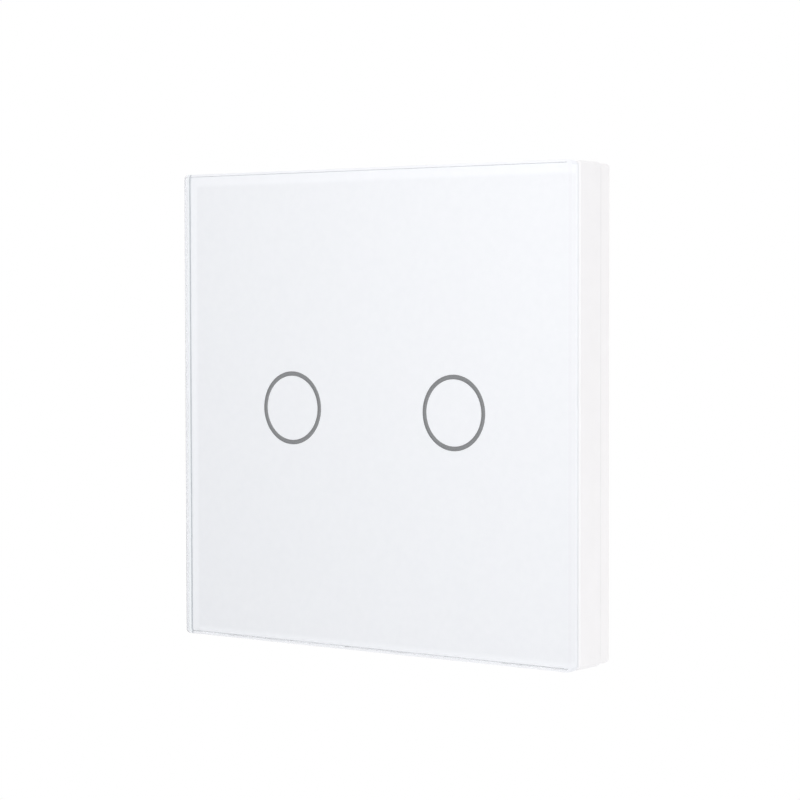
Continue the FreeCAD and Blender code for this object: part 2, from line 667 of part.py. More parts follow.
def cover_screws():
    return Part.makeCompound(
        [
            screw(
                sx * COVER_BOSS,
                sz * COVER_BOSS,
                HOUSING_BACK,
                COVER_SCREW_RADIUS,
                COVER_SCREW_LENGTH,
                COVER_SCREW_HEAD_RADIUS,
                COVER_SCREW_HEAD_HEIGHT,
            )
            for sx, sz in CORNERS
        ]
    )


def board_screws():
    return Part.makeCompound(
        [
            screw(
                sx * BOARD_BOSS,
                sz * BOARD_BOSS,
                BOARD_BACK,
                BOARD_SCREW_RADIUS,
                BOARD_SCREW_LENGTH,
                BOARD_SCREW_HEAD_RADIUS,
                BOARD_SCREW_HEAD_HEIGHT,
            )
            for sx, sz in CORNERS
        ]
    )


def snap_tongue(x, side):
    """A tongue that stands on the plate's floor, with a barb that faces the outer wall."""
    barb_back = COVER_FRONT + BARB_GAP
    tip = barb_back + BARB_LENGTH
    z = side * TONGUE_Z
    blade = slab(TONGUE_WIDTH, TONGUE_THICKNESS, PLATE_FLOOR, tip, x, z)
    face = z + side * TONGUE_THICKNESS / 2
    profile = [
        place(x - TONGUE_WIDTH / 2, barb_back, face),
        place(x - TONGUE_WIDTH / 2, barb_back, face + side * BARB_REACH),
        place(x - TONGUE_WIDTH / 2, tip, face),
    ]
    barb = Part.Face(Part.makePolygon(profile + profile[:1])).extrude(Vector(TONGUE_WIDTH, 0, 0))
    return blade.fuse(barb).removeSplitter()


def up_arrow():
    """A raised triangle that shows which way up the plate goes."""
    half = ARROW_SIZE / 2
    points = [
        place(-half, PLATE_FLOOR, ARROW_FROM_CENTRE - half),
        place(half, PLATE_FLOOR, ARROW_FROM_CENTRE - half),
        place(0, PLATE_FLOOR, ARROW_FROM_CENTRE + half),
    ]
    return Part.Face(Part.makePolygon(points + points[:1])).extrude(OUT * ARROW_HEIGHT)


def pad(side):
    """One foam pad, which also shapes its own pocket in the plate."""
    return plate(PAD_WIDTH, PAD_HEIGHT, PAD_CORNER_RADIUS, 0, PAD_THICKNESS, 0, side * PAD_FROM_CENTRE)


def wall_plate():
    """The shallow tray that stays on the wall and carries the module on four snap tongues."""
    outer = plate(PLATE_SIDE, PLATE_SIDE, PLATE_CORNER_RADIUS, 0, PLATE_DEPTH)
    outer = outer.makeFillet(PLATE_BACK_FILLET, edges_at(outer, 0))
    outer = outer.makeFillet(PLATE_FRONT_FILLET, edges_at(outer, PLATE_DEPTH))
    inner_side = PLATE_SIDE - 2 * PLATE_WALL
    body = outer.cut(slab(inner_side, inner_side, PLATE_FLOOR, PLATE_DEPTH))
    added = [snap_tongue(x, side) for x, side in tongue_places()] + [up_arrow()]
    rib_front = PLATE_FLOOR + PLATE_RIB_HEIGHT
    for side in (-1, 1):
        z = side * PLATE_RIB_FROM_CENTRE
        added.append(slab(PLATE_RIB_LENGTH, PLATE_RIB_WIDTH, PLATE_FLOOR, rib_front, 0, z))
    body = body.multiFuse(added).removeSplitter()
    cuts = []
    for side in (-1, 1):
        x = side * SCREW_SLOT_SPACING / 2
        length = SCREW_SLOT_LENGTH + SCREW_RECESS_MARGIN * 2
        width = SCREW_SLOT_WIDTH + SCREW_RECESS_MARGIN * 2
        cuts.append(oblong(SCREW_SLOT_LENGTH, SCREW_SLOT_WIDTH, 0, PLATE_FLOOR, x))
        cuts.append(oblong(length, width, PLATE_FLOOR - SCREW_RECESS_DEPTH, PLATE_FLOOR, x))
        cuts.append(pad(side))
    notch_z = -(PLATE_SIDE - PLATE_WALL) / 2
    cuts.append(slab(PRY_NOTCH_WIDTH, PLATE_WALL, PLATE_DEPTH - PRY_NOTCH_DEPTH, PLATE_DEPTH, 0, notch_z))
    return body.cut(Part.makeCompound(cuts))


def foam_tape_pads():
    return Part.makeCompound([pad(side) for side in (-1, 1)])


PIECES = {
    "wall_plate": wall_plate,
    "foam_tape_pads": foam_tape_pads,
    "glass_panel": glass_panel,
    "white_backprint": white_backprint,
    "touch_ring_prints": touch_ring_prints,
    "glass_tape_frame": glass_tape_frame,
    "front_housing": front_housing,
    "light_guide_left": lambda: light_guide(-RING_X),
    "light_guide_right": lambda: light_guide(RING_X),
    "touch_spring_left": lambda: touch_spring(-RING_X),
    "touch_spring_right": lambda: touch_spring(RING_X),
    "indicator_leds": indicator_leds,
    "circuit_board": circuit_board,
    "antenna_coil": antenna_coil,
    "touch_controller_chip": touch_controller_chip,
    "radio_chip": radio_chip,
    "crystal_can": crystal_can,
    "chip_capacitors": chip_capacitors,
    "chip_resistors": chip_resistors,
    "board_screws": board_screws,
    "pairing_switch_base": pairing_switch_base,
    "pairing_switch_dome": pairing_switch_dome,
    "pairing_button": pairing_button,
    "negative_contact": negative_contact,
    "battery_clip": battery_clip,
    "coin_cell_can": coin_cell_can,
    "coin_cell_gasket": coin_cell_gasket,
    "coin_cell_cap": coin_cell_cap,
    "rear_cover": rear_cover,
    "cover_screws": cover_screws,
}


def main():
    os.makedirs("parts", exist_ok=True)
    for name, make in PIECES.items():
        shape = make()
        if not shape.isValid() or not shape.Solids:
            raise RuntimeError(name + " is not a valid solid")
        shape.exportStep(os.path.join("parts", name + ".step"))
        print(name, len(shape.Solids), "solids", round(shape.Volume, 2), "mm3")
    spring = least_gap(SPRING_RADIUS, SPRING_WIRE, SPRING_PITCH, SPRING_TURNS)
    aerial = least_gap(ANTENNA_RADIUS, ANTENNA_WIRE, ANTENNA_PITCH, ANTENNA_TURNS)
    print("least gap between turns: spring", round(spring, 2), "mm, aerial", round(aerial, 2), "mm")


main()
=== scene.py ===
# %% [markdown]
# A wireless light switch for a wall, with two touch marks behind a square of glass. The solids of the
# switch come packed, at their real size, as a fixed frame. This script gives them their finishes, puts
# finer pieces where the solids are too plain, and sets up the light and the camera.
# Lengths are in metres. +Z is up, +X is to the right for someone who faces the switch, and the wall is
# the plane y = 0, so the glass faces -Y.

# %% Load the frame
import math

import bmesh
import bpy
from mathutils import Matrix, Vector


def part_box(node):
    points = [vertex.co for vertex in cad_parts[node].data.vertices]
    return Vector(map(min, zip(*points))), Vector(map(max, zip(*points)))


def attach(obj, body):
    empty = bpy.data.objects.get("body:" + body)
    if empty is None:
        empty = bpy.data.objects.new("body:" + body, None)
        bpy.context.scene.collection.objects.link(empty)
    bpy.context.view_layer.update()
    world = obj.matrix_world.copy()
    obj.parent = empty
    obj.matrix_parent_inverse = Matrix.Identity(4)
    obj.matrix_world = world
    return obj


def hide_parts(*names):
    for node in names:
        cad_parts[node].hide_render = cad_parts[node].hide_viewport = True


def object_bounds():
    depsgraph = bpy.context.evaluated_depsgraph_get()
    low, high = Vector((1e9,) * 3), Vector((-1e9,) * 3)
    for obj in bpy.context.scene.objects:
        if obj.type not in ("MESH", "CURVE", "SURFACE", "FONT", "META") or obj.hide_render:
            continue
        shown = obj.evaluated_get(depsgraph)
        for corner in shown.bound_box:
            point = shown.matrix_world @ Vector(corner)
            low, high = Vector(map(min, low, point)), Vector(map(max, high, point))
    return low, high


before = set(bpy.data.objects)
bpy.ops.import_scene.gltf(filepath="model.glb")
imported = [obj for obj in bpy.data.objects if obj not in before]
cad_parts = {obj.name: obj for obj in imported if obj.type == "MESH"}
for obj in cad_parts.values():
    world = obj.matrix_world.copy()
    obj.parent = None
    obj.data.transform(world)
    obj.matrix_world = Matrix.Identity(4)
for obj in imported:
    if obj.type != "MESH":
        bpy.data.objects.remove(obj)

MM = 0.001


def in_mm(place):
    return [round(v / MM, 2) for v in place]


scene = bpy.context.scene
cad_low, cad_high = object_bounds()
print("solids loaded:", len(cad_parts), "box in mm:", in_mm(cad_high - cad_low))

# %% [markdown]
# Every finish is a material made of nodes. On the real switch no surface is one flat colour: moulded
# plastic has a fine spark-eroded texture, ink a faint mottle from the screen, wire its drawing marks.
# The helpers below add one such thing each. They read Object coordinates, which for these pieces are
# places on the real switch, so a grain of 0.2 mm stays 0.2 mm on every piece.

# %% Helpers for finishes
NOISE_MIDDLE = (0.3, 0.7)


def new_finish(name):
    finish = bpy.data.materials.new(name)
    finish.use_nodes = True
    print("finish:", name)
    return finish, finish.node_tree.nodes["Principled BSDF"]


def fill(finish, node, inputs):
    """Sets inputs of a node, by name or number. A value is a number, a colour or another node's output."""
    for key, value in inputs.items():
        socket = node.inputs[key]
        if isinstance(value, bpy.types.NodeSocket):
            finish.node_tree.links.new(value, socket)
        elif socket.type == "RGBA":
            socket.default_value = (*value, 1)
        else:
            socket.default_value = value


def add(finish, kind, inputs=None, **settings):
    """Adds a node and returns its outputs."""
    made = finish.node_tree.nodes.new(kind)
    for name, value in settings.items():
        setattr(made, name, value)
    fill(finish, made, inputs or {})
    return made.outputs


def math_node(finish, operation, *numbers):
    """One step of arithmetic. Each of the numbers can also be the output of another node."""
    return add(finish, "ShaderNodeMath", dict(enumerate(numbers)), operation=operation)[0]


def places(finish):
    """The point of the switch that is being coloured, in metres."""
    return add(finish, "ShaderNodeTexCoord")["Object"]


def along_axes(finish):
    """The same point as three outputs named X, Y and Z."""
    return add(finish, "ShaderNodeSeparateXYZ", {"Vector": places(finish)})


def speckle(finish, size, stretch=(1, 1, 1), detail=2.0):
    """Soft random patches of this size, as a number from 0 to 1. A stretch over 1 squeezes them."""
    place = add(finish, "ShaderNodeMapping", {"Vector": places(finish), "Scale": stretch})["Vector"]
    return add(finish, "ShaderNodeTexNoise", {"Vector": place, "Scale": 1 / size, "Detail": detail})[0]


def ranged(finish, value, start, end, low=0.0, high=1.0, **settings):
    """Turns start to end of a value into low to high, and goes no further."""
    inputs = {"Value": value, "From Min": start, "From Max": end, "To Min": low, "To Max": high}
    return add(finish, "ShaderNodeMapRange", inputs, **settings)["Result"]


def spread(finish, share, low, high):
    """Turns a soft pattern into numbers from low to high, with its middle part stretched out."""
    return ranged(finish, share, *NOISE_MIDDLE, low, high)


def mixed(finish, share, first, second):
    """The first colour where the share is 0 and the second where it is 1."""
    return add(finish, "ShaderNodeMix", {0: share, 6: first, 7: second}, data_type="RGBA")[2]


def two_tones(finish, share, dark, light):
    return mixed(finish, spread(finish, share, 0, 1), dark, light)


def blended(finish, share, first, second):
    """The first shader where the share is 0 and the second where it is 1."""
    return add(finish, "ShaderNodeMixShader", {0: share, 1: first, 2: second})[0]


def show(finish, shown, output="Material Output"):
    """Makes this shader the one that the surface shows."""
    fill(finish, finish.node_tree.nodes[output], {"Surface": shown})


# %% [markdown]
# Most finishes share one base: two close tones in patches, uneven gloss, and a fine grain in relief. Small
# parts of two materials get a mask instead, which says where along the part each material is.

# %% The two kinds of finish
SMALL_PART_PATCH = (0.0004, 0.0003)
SMALL_PART_GRAIN = 0.0001
SMALL_PART_DEPTH = 0.000004


def relief(finish, share, depth):
    """Small bumps of this depth, in metres."""
    return add(finish, "ShaderNodeBump", {"Distance": depth, "Height": share})["Normal"]


def worked_finish(name, tones, patch, grain, depth, rough, metal=0.0, stretch=(1, 1, 1)):
    """tones and rough are pairs. patch, grain and depth are in metres."""
    finish, shader = new_finish(name)
    texture = speckle(finish, grain, stretch)
    inputs = {
        "Base Color": two_tones(finish, speckle(finish, patch), *tones),
        "Roughness": spread(finish, texture, *rough),
        "Metallic": metal,
        "Normal": relief(finish, texture, depth),
    }
    fill(finish, shader, inputs)
    return finish


def metal_finish(name, tones, **texture):
    return worked_finish(name, tones, metal=1.0, **texture)


def masked_finish(name, inside, outside, mask, rough, metal):
    """One colour where the mask is 1 and another, with its own gloss and metal, where it is 0.
    rough and metal are pairs, for inside and outside."""
    finish, shader = new_finish(name)
    share = mask(finish)
    patches = [speckle(finish, size) for size in SMALL_PART_PATCH]
    colours = [two_tones(finish, patch, *tones) for patch, tones in zip(patches, (outside, inside))]
    inputs = {
        "Base Color": mixed(finish, share, *colours),
        "Roughness": ranged(finish, share, 0, 1, *reversed(rough)),
        "Metallic": ranged(finish, share, 0, 1, *reversed(metal)),
        "Normal": relief(finish, speckle(finish, SMALL_PART_GRAIN), SMALL_PART_DEPTH),
    }
    fill(finish, shader, inputs)
    return finish


def within(axis, centre, half):
    """A mask that is 1 where the place along this axis is within half of centre."""
    def mask(finish):
        return math_node(finish, "COMPARE", along_axes(finish)[axis], centre, half)
    return mask


def dress(finish, *node_names):
    """Puts a finish on solids of the frame, in the slots of their own objects."""
    for node_name in node_names:
        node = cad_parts[node_name]
        if not node.material_slots:
            node.data.materials.append(finish)
        for slot in node.material_slots:
            slot.material = finish


# %% [markdown]
# New pieces start as a cube, or as a small outline that is spun round. Then bmesh operators shape them.
# A piece is written where it belongs, in its mesh, and its object stays at the origin, as the solids of
# the frame do.

# %% Helpers for pieces
WELD = 1e-7
ALONG_Y = 0.999
CORNER_STEPS = 6
ROUND_STEPS = 96


def block(bm, low, high):
    made = bmesh.ops.create_cube(bm, size=1)["verts"]
    bmesh.ops.scale(bm, vec=Vector(high) - Vector(low), verts=made)
    bmesh.ops.translate(bm, vec=(Vector(low) + Vector(high)) / 2, verts=made)
    return made


def bevel(bm, edges, width, segments):
    bmesh.ops.bevel(
        bm,
        geom=edges,
        offset=width,
        offset_type="OFFSET",
        segments=segments,
        profile=0.5,
        affect="EDGES",
        material=-1,
    )


def edges_of(verts):
    return list(dict.fromkeys(e for v in verts for e in v.link_edges))


def faces_of(verts):
    return list(dict.fromkeys(f for v in verts for f in v.link_faces))


def only_verts(geom):
    return [part for part in geom if isinstance(part, bmesh.types.BMVert)]


def edges_out_from_wall(bm, verts):
    """The edges of these vertices that run along Y, which are the corners of a plate."""
    bm.edges.index_update()
    found = [e for e in edges_of(verts) if abs((e.verts[0].co - e.verts[1].co).normalized().y) > ALONG_Y]
    return sorted(found, key=lambda e: e.index)


def plate(bm, low, high, radius, segments=CORNER_STEPS):
    """A block with the four corners that point out from the wall rounded."""
    corners = block(bm, low, high)
    bevel(bm, edges_out_from_wall(bm, corners), radius, segments)


def ring(bm, centre, inner, outer, back, front, steps=ROUND_STEPS):
    """A flat ring about the axis that points out from the wall: a small outline, spun full circle."""
    outline = [(inner, back), (outer, back), (outer, front), (inner, front)]
    verts = [bm.verts.new((centre[0] + radius, y, centre[1])) for radius, y in outline]
    edges = [bm.edges.new((verts[i - 1], verts[i])) for i in range(len(verts))]
    bmesh.ops.spin(
        bm,
        geom=verts + edges,
        cent=(centre[0], 0, centre[1]),
        axis=(0, 1, 0),
        angle=2 * math.pi,
        steps=steps,
        use_merge=True,
    )


def print_reach(name, bm):
    low, high = ([pick(v.co[axis] for v in bm.verts) for axis in range(3)] for pick in (min, max))
    print(name, "from", in_mm(low), "to", in_mm(high))


def new_object(name, bm):
    """Turns a bmesh into an object at the origin."""
    mesh = bpy.data.meshes.new(name)
    bm.to_mesh(mesh)
    bm.free()
    made = bpy.data.objects.new(name, mesh)
    scene.collection.objects.link(made)
    return made


def finish_piece(name, bm, finishes, body="switch_module"):
    """Turns a bmesh into a piece that rides on a body of the frame."""
    bmesh.ops.remove_doubles(bm, verts=bm.verts, dist=WELD)
    bmesh.ops.recalc_face_normals(bm, faces=bm.faces)
    piece = new_object(name, bm)
    for polygon in piece.data.polygons:
        polygon.use_smooth = True
    for finish in finishes:
        piece.data.materials.append(finish)
    weighted = piece.modifiers.new("true_normals", "WEIGHTED_NORMAL")
    weighted.keep_sharp = True
    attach(piece, body)
    print(name, len(piece.data.polygons), "faces")
    return piece


# %% [markdown]
# The front is tempered glass, 2.6 mm thick. Its edges are ground to narrow flats and polished, and the
# flats have soft corners that catch the light. A rendered sheet with a painted edge would miss the thin
# blue and bright lines near the rim: they are the rear flat and the housing, seen through the glass. So
# the glass is a real solid with real refraction. Light that scatters off the print, and light on its way
# from a lamp, passes straight through instead. Bent light would come out as noise on the print.

# %% Finish of the glass
GLASS_TINT = (0.985, 0.992, 1.0)
GLASS_IOR = 1.5
# The rear flats are tinted darker and bluer than the glass: partly the grey of ground glass, partly painted
# shade that darkens the gap and the housing edge seen through them.
REAR_FLAT_TINT_AND_SHADE = (0.745, 0.80, 0.84)
FRONT_FLAT_TINT = (0.968, 0.963, 0.978)
CORNER_TINT = (0.86, 0.865, 0.885)
GLASS_PATCH = 0.006


def glass_finish(name, tint, rough):
    finish, shader = new_finish(name)
    gloss = spread(finish, speckle(finish, GLASS_PATCH), *rough)
    inputs = {"Base Color": tint, "Transmission Weight": 1, "IOR": GLASS_IOR, "Roughness": gloss}
    fill(finish, shader, inputs)
    clear = add(finish, "ShaderNodeBsdfTransparent", {"Color": tint})[0]
    rays = add(finish, "ShaderNodeLightPath")
    shown = shader.outputs[0]
    for kind in ("Is Diffuse Ray", "Is Shadow Ray"):
        shown = blended(finish, rays[kind], shown, clear)
    show(finish, shown)
    return finish


polished_glass = glass_finish("polished_glass", GLASS_TINT, rough=(0.0, 0.012))
ground_glass = glass_finish("ground_glass", REAR_FLAT_TINT_AND_SHADE, rough=(0.05, 0.12))
front_flat_glass = glass_finish("front_flat_glass", FRONT_FLAT_TINT, rough=(0.0, 0.03))
corner_glass = glass_finish("corner_glass", CORNER_TINT, rough=(0.0, 0.03))

# %% [markdown]
# The glass starts as a block. Its upright corners are rounded, and its front and rear rims get the ground
# flat. The rear flats at the left and right reach a little further in, so the rear face is scaled down in
# width. Then each sharp line beside a flat is softened by a few hundredths of a millimetre. The rounded
# corners are ground too, and a little greyer than the sides, or they would be lost before a white wall.

# %% The glass
GLASS_CORNER_RADIUS = 0.00085
GLASS_CORNER_STEPS = 8
GLASS_FLAT = 0.0004
SIDE_FLAT_REACH = 0.0006
GLASS_SOFT_EDGE = 0.00005
SHARP_LINE = 0.5
FLAT_LEAN = (0.3, 0.98)
CORNER_LEAN = 0.02

glass_low, glass_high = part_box("glass_panel")
bm = bmesh.new()
plate(bm, glass_low, glass_high, GLASS_CORNER_RADIUS, GLASS_CORNER_STEPS)
rims = [e for e in bm.edges if e.calc_face_angle() > 2 * SHARP_LINE]
bevel(bm, rims, GLASS_FLAT, 1)
rear_outline = [v for v in bm.verts if v.co.y > glass_high.y - GLASS_FLAT / 2]
shrink = (glass_high.x - SIDE_FLAT_REACH) / (glass_high.x - GLASS_FLAT)
bmesh.ops.scale(bm, vec=(shrink, 1, 1), verts=rear_outline)
lines = [e for e in bm.edges if e.calc_face_angle() > SHARP_LINE]
bevel(bm, lines, GLASS_SOFT_EDGE, 2)
bm.normal_update()
for face in bm.faces:
    if FLAT_LEAN[0] < abs(face.normal.y) < FLAT_LEAN[1]:
        face.material_index = 1 if face.normal.y > 0 else 2
    elif abs(face.normal.x * face.normal.z) > CORNER_LEAN:
        face.material_index = 3
glass_finishes = [polished_glass, ground_glass, front_flat_glass, corner_glass]
glass = finish_piece("glass_front", bm, glass_finishes)
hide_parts("glass_panel")

# %% [markdown]
# The colour of the front is not in the glass. It is ceramic ink, screen printed on the back and fired:
# first the two grey rings, then white over everything. Ink in contact with glass has no gap of air, so
# the printed pieces start a hair inside the glass, and a ray meets the ink before it can leave the glass.
# The ink has no shine of its own for the same reason. The white shows a very faint mottle. Near its rim
# the white is painted lighter, a painted highlight for the light that comes in through the polished side of
# the glass and falls there as well. The painted band is wider at the top and on the left than opposite.

# %% The printed white
PRINT_BITE = 0.00001
PRINT_MARGIN = 0.00003
WHITE_CORNER_RADIUS = 0.0004
WHITE_TONES = ((0.895, 0.906, 0.933), (0.91, 0.92, 0.946))
# Painted highlight along the rim of the white: how much lighter it is, where it starts and fades, and how
# far it is shifted to lie wider at the top and on the left.
PAINTED_RIM_LIGHT_GAIN = 1.055
PAINTED_RIM_LIGHT_START = 0.0013
PAINTED_RIM_LIGHT_FADE = 0.0009
PAINTED_RIM_LIGHT_SHIFT = 0.0004
WHITE_MOTTLE = 0.0012
INK_ROUGHNESS = 0.6

white_low, white_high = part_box("white_backprint")
white_half_width = glass_high.x - SIDE_FLAT_REACH - PRINT_MARGIN
white_half_height = glass_high.z - GLASS_FLAT - PRINT_MARGIN


def painted_rim_light_share(finish):
    """Where the painted highlight lies: 1 near the edge of the glass, fading to 0 inwards."""
    place = along_axes(finish)
    across = math_node(finish, "ABSOLUTE", math_node(finish, "SUBTRACT", place["X"], PAINTED_RIM_LIGHT_SHIFT))
    upwards = math_node(finish, "ABSOLUTE", math_node(finish, "ADD", place["Z"], PAINTED_RIM_LIGHT_SHIFT))
    outwards = math_node(finish, "MAXIMUM", across, upwards)
    start = glass_high.x - PAINTED_RIM_LIGHT_START
    return ranged(finish, outwards, start - PAINTED_RIM_LIGHT_FADE, start, interpolation_type="SMOOTHSTEP")


def ink_finish(name, tones, mottle_size, detail, painted_rim_light=False):
    """Ink behind glass, which has no shine of its own. tones is a pair. It can also paint a highlight near
    the rim of the glass.
    """
    finish, shader = new_finish(name)
    mottle = speckle(finish, mottle_size, detail=detail)
    colour = two_tones(finish, mottle, *tones)
    # Painted highlight: lighter copies of the tones near the rim of the glass, for light that comes in
    # through its side.
    if painted_rim_light:
        painted_lit_tones = [[v * PAINTED_RIM_LIGHT_GAIN for v in tone] for tone in tones]
        colour = mixed(finish, painted_rim_light_share(finish), colour, two_tones(finish, mottle, *painted_lit_tones))
    fill(finish, shader, {"Base Color": colour, "Roughness": INK_ROUGHNESS, "Specular IOR Level": 0})
    return finish


# The white carries a painted highlight along the rim of the glass.
white_ink = ink_finish("white_ink", WHITE_TONES, WHITE_MOTTLE, detail=4.0, painted_rim_light=True)

bm = bmesh.new()
low = (-white_half_width, white_low.y - PRINT_BITE, -white_half_height)
high = (white_half_width, white_high.y, white_half_height)
plate(bm, low, high, WHITE_CORNER_RADIUS)
white_print = finish_piece("white_print", bm, [white_ink])
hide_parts("white_backprint")

# %% [markdown]
# A ring is a line of grey ink 0.8 mm wide. The mesh of the screen leaves its edge and its density very
# slightly uneven, which a fine mottle shows.

# %% The printed rings
RING_LINE = 0.0008
RING_BITE = 3 * PRINT_BITE
GREY_TONES = ((0.215, 0.22, 0.228), (0.25, 0.255, 0.262))
GREY_MOTTLE = 0.00015

grey_ink = ink_finish("grey_ink", GREY_TONES, GREY_MOTTLE, detail=3.0)
rings_low, rings_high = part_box("touch_ring_prints")
ring_radius = (rings_high.z - rings_low.z) / 2
ring_x = rings_high.x - ring_radius
bm = bmesh.new()
for side in (-1, 1):
    centre = (side * ring_x, 0)
    ring(bm, centre, ring_radius - RING_LINE, ring_radius, rings_high.y, rings_low.y - RING_BITE)
rings = finish_piece("printed_rings", bm, [grey_ink])
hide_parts("touch_ring_prints")

# %% [markdown]
# The housing, the wall plate and the rear cover are moulded in white plastic with a satin, finely
# textured surface. The frame's solids already have their rounded edges, so they stay and only get the
# finish. The wall plate comes from another mould and is a touch warmer.

# %% Moulded white plastic
HOUSING_TONES = ((0.885, 0.874, 0.883), (0.901, 0.89, 0.9))
PLATE_TONES = ((0.9, 0.886, 0.893), (0.914, 0.902, 0.908))
MOULDED = {"patch": 0.004, "grain": 0.00022, "depth": 0.000006, "rough": (0.42, 0.52)}

housing_white = worked_finish("housing_white", HOUSING_TONES, **MOULDED)
plate_white = worked_finish("plate_white", PLATE_TONES, **MOULDED)
dress(housing_white, "front_housing", "rear_cover")
dress(plate_white, "wall_plate")

# %% [markdown]
# The glass is held by a frame of white tape. Two foam pads in pockets of the wall plate stick it to a
# wall. Each pad still has its paper liner, slit across the middle so that it can be peeled. The liner and
# the foam together fill the pad's own solid, so nothing stands out of the pocket.

# %% Tape, foam pads and liners
PAD_HEIGHT = 0.014
PAD_CORNER_RADIUS = 0.002
LINER = 0.0001
SLIT = 0.00015
TAPE_TONES = ((0.8, 0.8, 0.78), (0.86, 0.86, 0.84))
FOAM_TONES = ((0.5, 0.51, 0.52), (0.68, 0.68, 0.68))
PAPER_TONES = ((0.76, 0.72, 0.6), (0.785, 0.745, 0.63))

tape = worked_finish("tape", TAPE_TONES, patch=0.002, grain=0.0001, depth=0.000004, rough=(0.5, 0.7))
foam = worked_finish("foam", FOAM_TONES, patch=0.0004, grain=0.00025, depth=0.00005, rough=(0.8, 0.95))
paper = worked_finish(
    "liner_paper", PAPER_TONES, patch=0.0009, grain=0.00012, depth=0.000003, rough=(0.32, 0.45)
)
dress(tape, "glass_tape_frame")

pads_low, pads_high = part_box("foam_tape_pads")
pad_middle = pads_high.z - PAD_HEIGHT / 2
foam_bm = bmesh.new()
liner_bm = bmesh.new()
for side in (-1, 1):
    low = Vector((pads_low.x, pads_low.y, side * pad_middle - PAD_HEIGHT / 2))
    high = Vector((pads_high.x, pads_high.y - LINER, side * pad_middle + PAD_HEIGHT / 2))
    plate(foam_bm, low, high, PAD_CORNER_RADIUS)
    for end in (-1, 1):
        outer = end * pads_high.x
        inner = end * SLIT / 2
        made = block(liner_bm, (min(outer, inner), -LINER, low.z), (max(outer, inner), 0, high.z))
        upright = edges_out_from_wall(liner_bm, made)
        corners = [e for e in upright if abs(e.verts[0].co.x) > pads_high.x / 2]
        bevel(liner_bm, corners, PAD_CORNER_RADIUS, CORNER_STEPS)
foam_pads = finish_piece("foam_pads", foam_bm, [foam], body="wall_base")
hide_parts("foam_tape_pads")
finish_piece("pad_liners", liner_bm, [paper], body="wall_base")

# %% [markdown]
# A mould pushes each part out with round pins, and every pin leaves a fine witness ring. They show on the
# plate's inner floor when the switch is off the wall. Thin raised rings are enough for that.

# %% Ejector marks on the wall plate
PIN_MARK_RADIUS = 0.002
PIN_MARK_LINE = 0.00012
PIN_MARK_RISE = 0.00002
PIN_MARK_ACROSS = (-0.033, -0.011, 0.011, 0.033)
PIN_MARK_HEIGHTS = (-0.034, 0.014)
PIN_MARK_STEPS = 32
PLATE_FLOOR = 0.0015

bm = bmesh.new()
inner = PIN_MARK_RADIUS - PIN_MARK_LINE
top = -PLATE_FLOOR - PIN_MARK_RISE
for x in PIN_MARK_ACROSS:
    for z in PIN_MARK_HEIGHTS:
        ring(bm, (x, z), inner, PIN_MARK_RADIUS, -PLATE_FLOOR, top, PIN_MARK_STEPS)
finish_piece("ejector_marks", bm, [plate_white], body="wall_base")

# %% [markdown]
# Behind the print lie two clear moulded light guides, the lamps under them and the touch springs. The
# guides are acrylic, which bends light like the glass does. The springs are nickel-plated steel wire.

# %% Light guides, lamps and springs
ACRYLIC_TINT = (0.96, 0.97, 0.98)
NICKEL = ((0.66, 0.65, 0.62), (0.72, 0.71, 0.68))
PHOSPHOR = ((0.8, 0.68, 0.32), (0.92, 0.88, 0.7))

clear_acrylic = glass_finish("clear_acrylic", ACRYLIC_TINT, rough=(0.03, 0.08))
spring = metal_finish("spring_steel", NICKEL, patch=0.001, grain=0.00008, depth=0.000002, rough=(0.2, 0.32))
dress(clear_acrylic, "light_guide_left", "light_guide_right")
dress(spring, "touch_spring_left", "touch_spring_right")
lamp = worked_finish("lamp", PHOSPHOR, patch=0.0008, grain=0.0001, depth=0.000003, rough=(0.15, 0.25))
dress(lamp, "indicator_leds")

# %% [markdown]
# The circuit board is glass cloth under green solder mask. Boards for touch switches have a hatched
# copper ground instead of a solid one, so that a finger is felt from further away. The mask is a little
# lighter over the hatch, and the weave of the cloth shows as a faint grain.

# %% Circuit board
HATCH_PITCH = 0.0018
HATCH_SHARE = 0.08
CLOTH_PITCH = 0.0005
MASK_TONES = ((0.012, 0.105, 0.045), (0.018, 0.125, 0.055))
MASK_OVER_HATCH = (0.022, 0.15, 0.066)
MASK_OVER_COPPER = ((0.035, 0.21, 0.09), (0.045, 0.235, 0.1))
MASK_GLOSS = (0.25, 0.35)
HATCH_DEPTH = 0.00001


def board_finish():
    finish, shader = new_finish("solder_mask")
    place = along_axes(finish)
    hatch = 0
    for way in ("ADD", "SUBTRACT"):
        slanted = math_node(finish, way, place["X"], place["Z"])
        across = math_node(finish, "FRACT", math_node(finish, "DIVIDE", slanted, HATCH_PITCH))
        beside = math_node(finish, "ABSOLUTE", math_node(finish, "SUBTRACT", across, 0.5))
        hatch = math_node(finish, "MAXIMUM", math_node(finish, "LESS_THAN", beside, HATCH_SHARE), hatch)
    cloth = speckle(finish, CLOTH_PITCH)
    mask_tone = two_tones(finish, cloth, *MASK_TONES)
    inputs = {
        "Base Color": mixed(finish, hatch, mask_tone, MASK_OVER_HATCH),
        "Roughness": spread(finish, cloth, *MASK_GLOSS),
        "Normal": relief(finish, hatch, HATCH_DEPTH),
    }
    fill(finish, shader, inputs)
    return finish


dress(board_finish(), "circuit_board")

# %% [markdown]
# The parts on the board are of a few common kinds. Chip capacitors are tan ceramic and chip resistors
# black film, both with tinned ends, so a mask along their length sets metal apart from body. Chips are
# black resin, and the touch controller's pins are tinned. The crystal has a steel lid on a ceramic base.
# The aerial is enamelled copper wire.

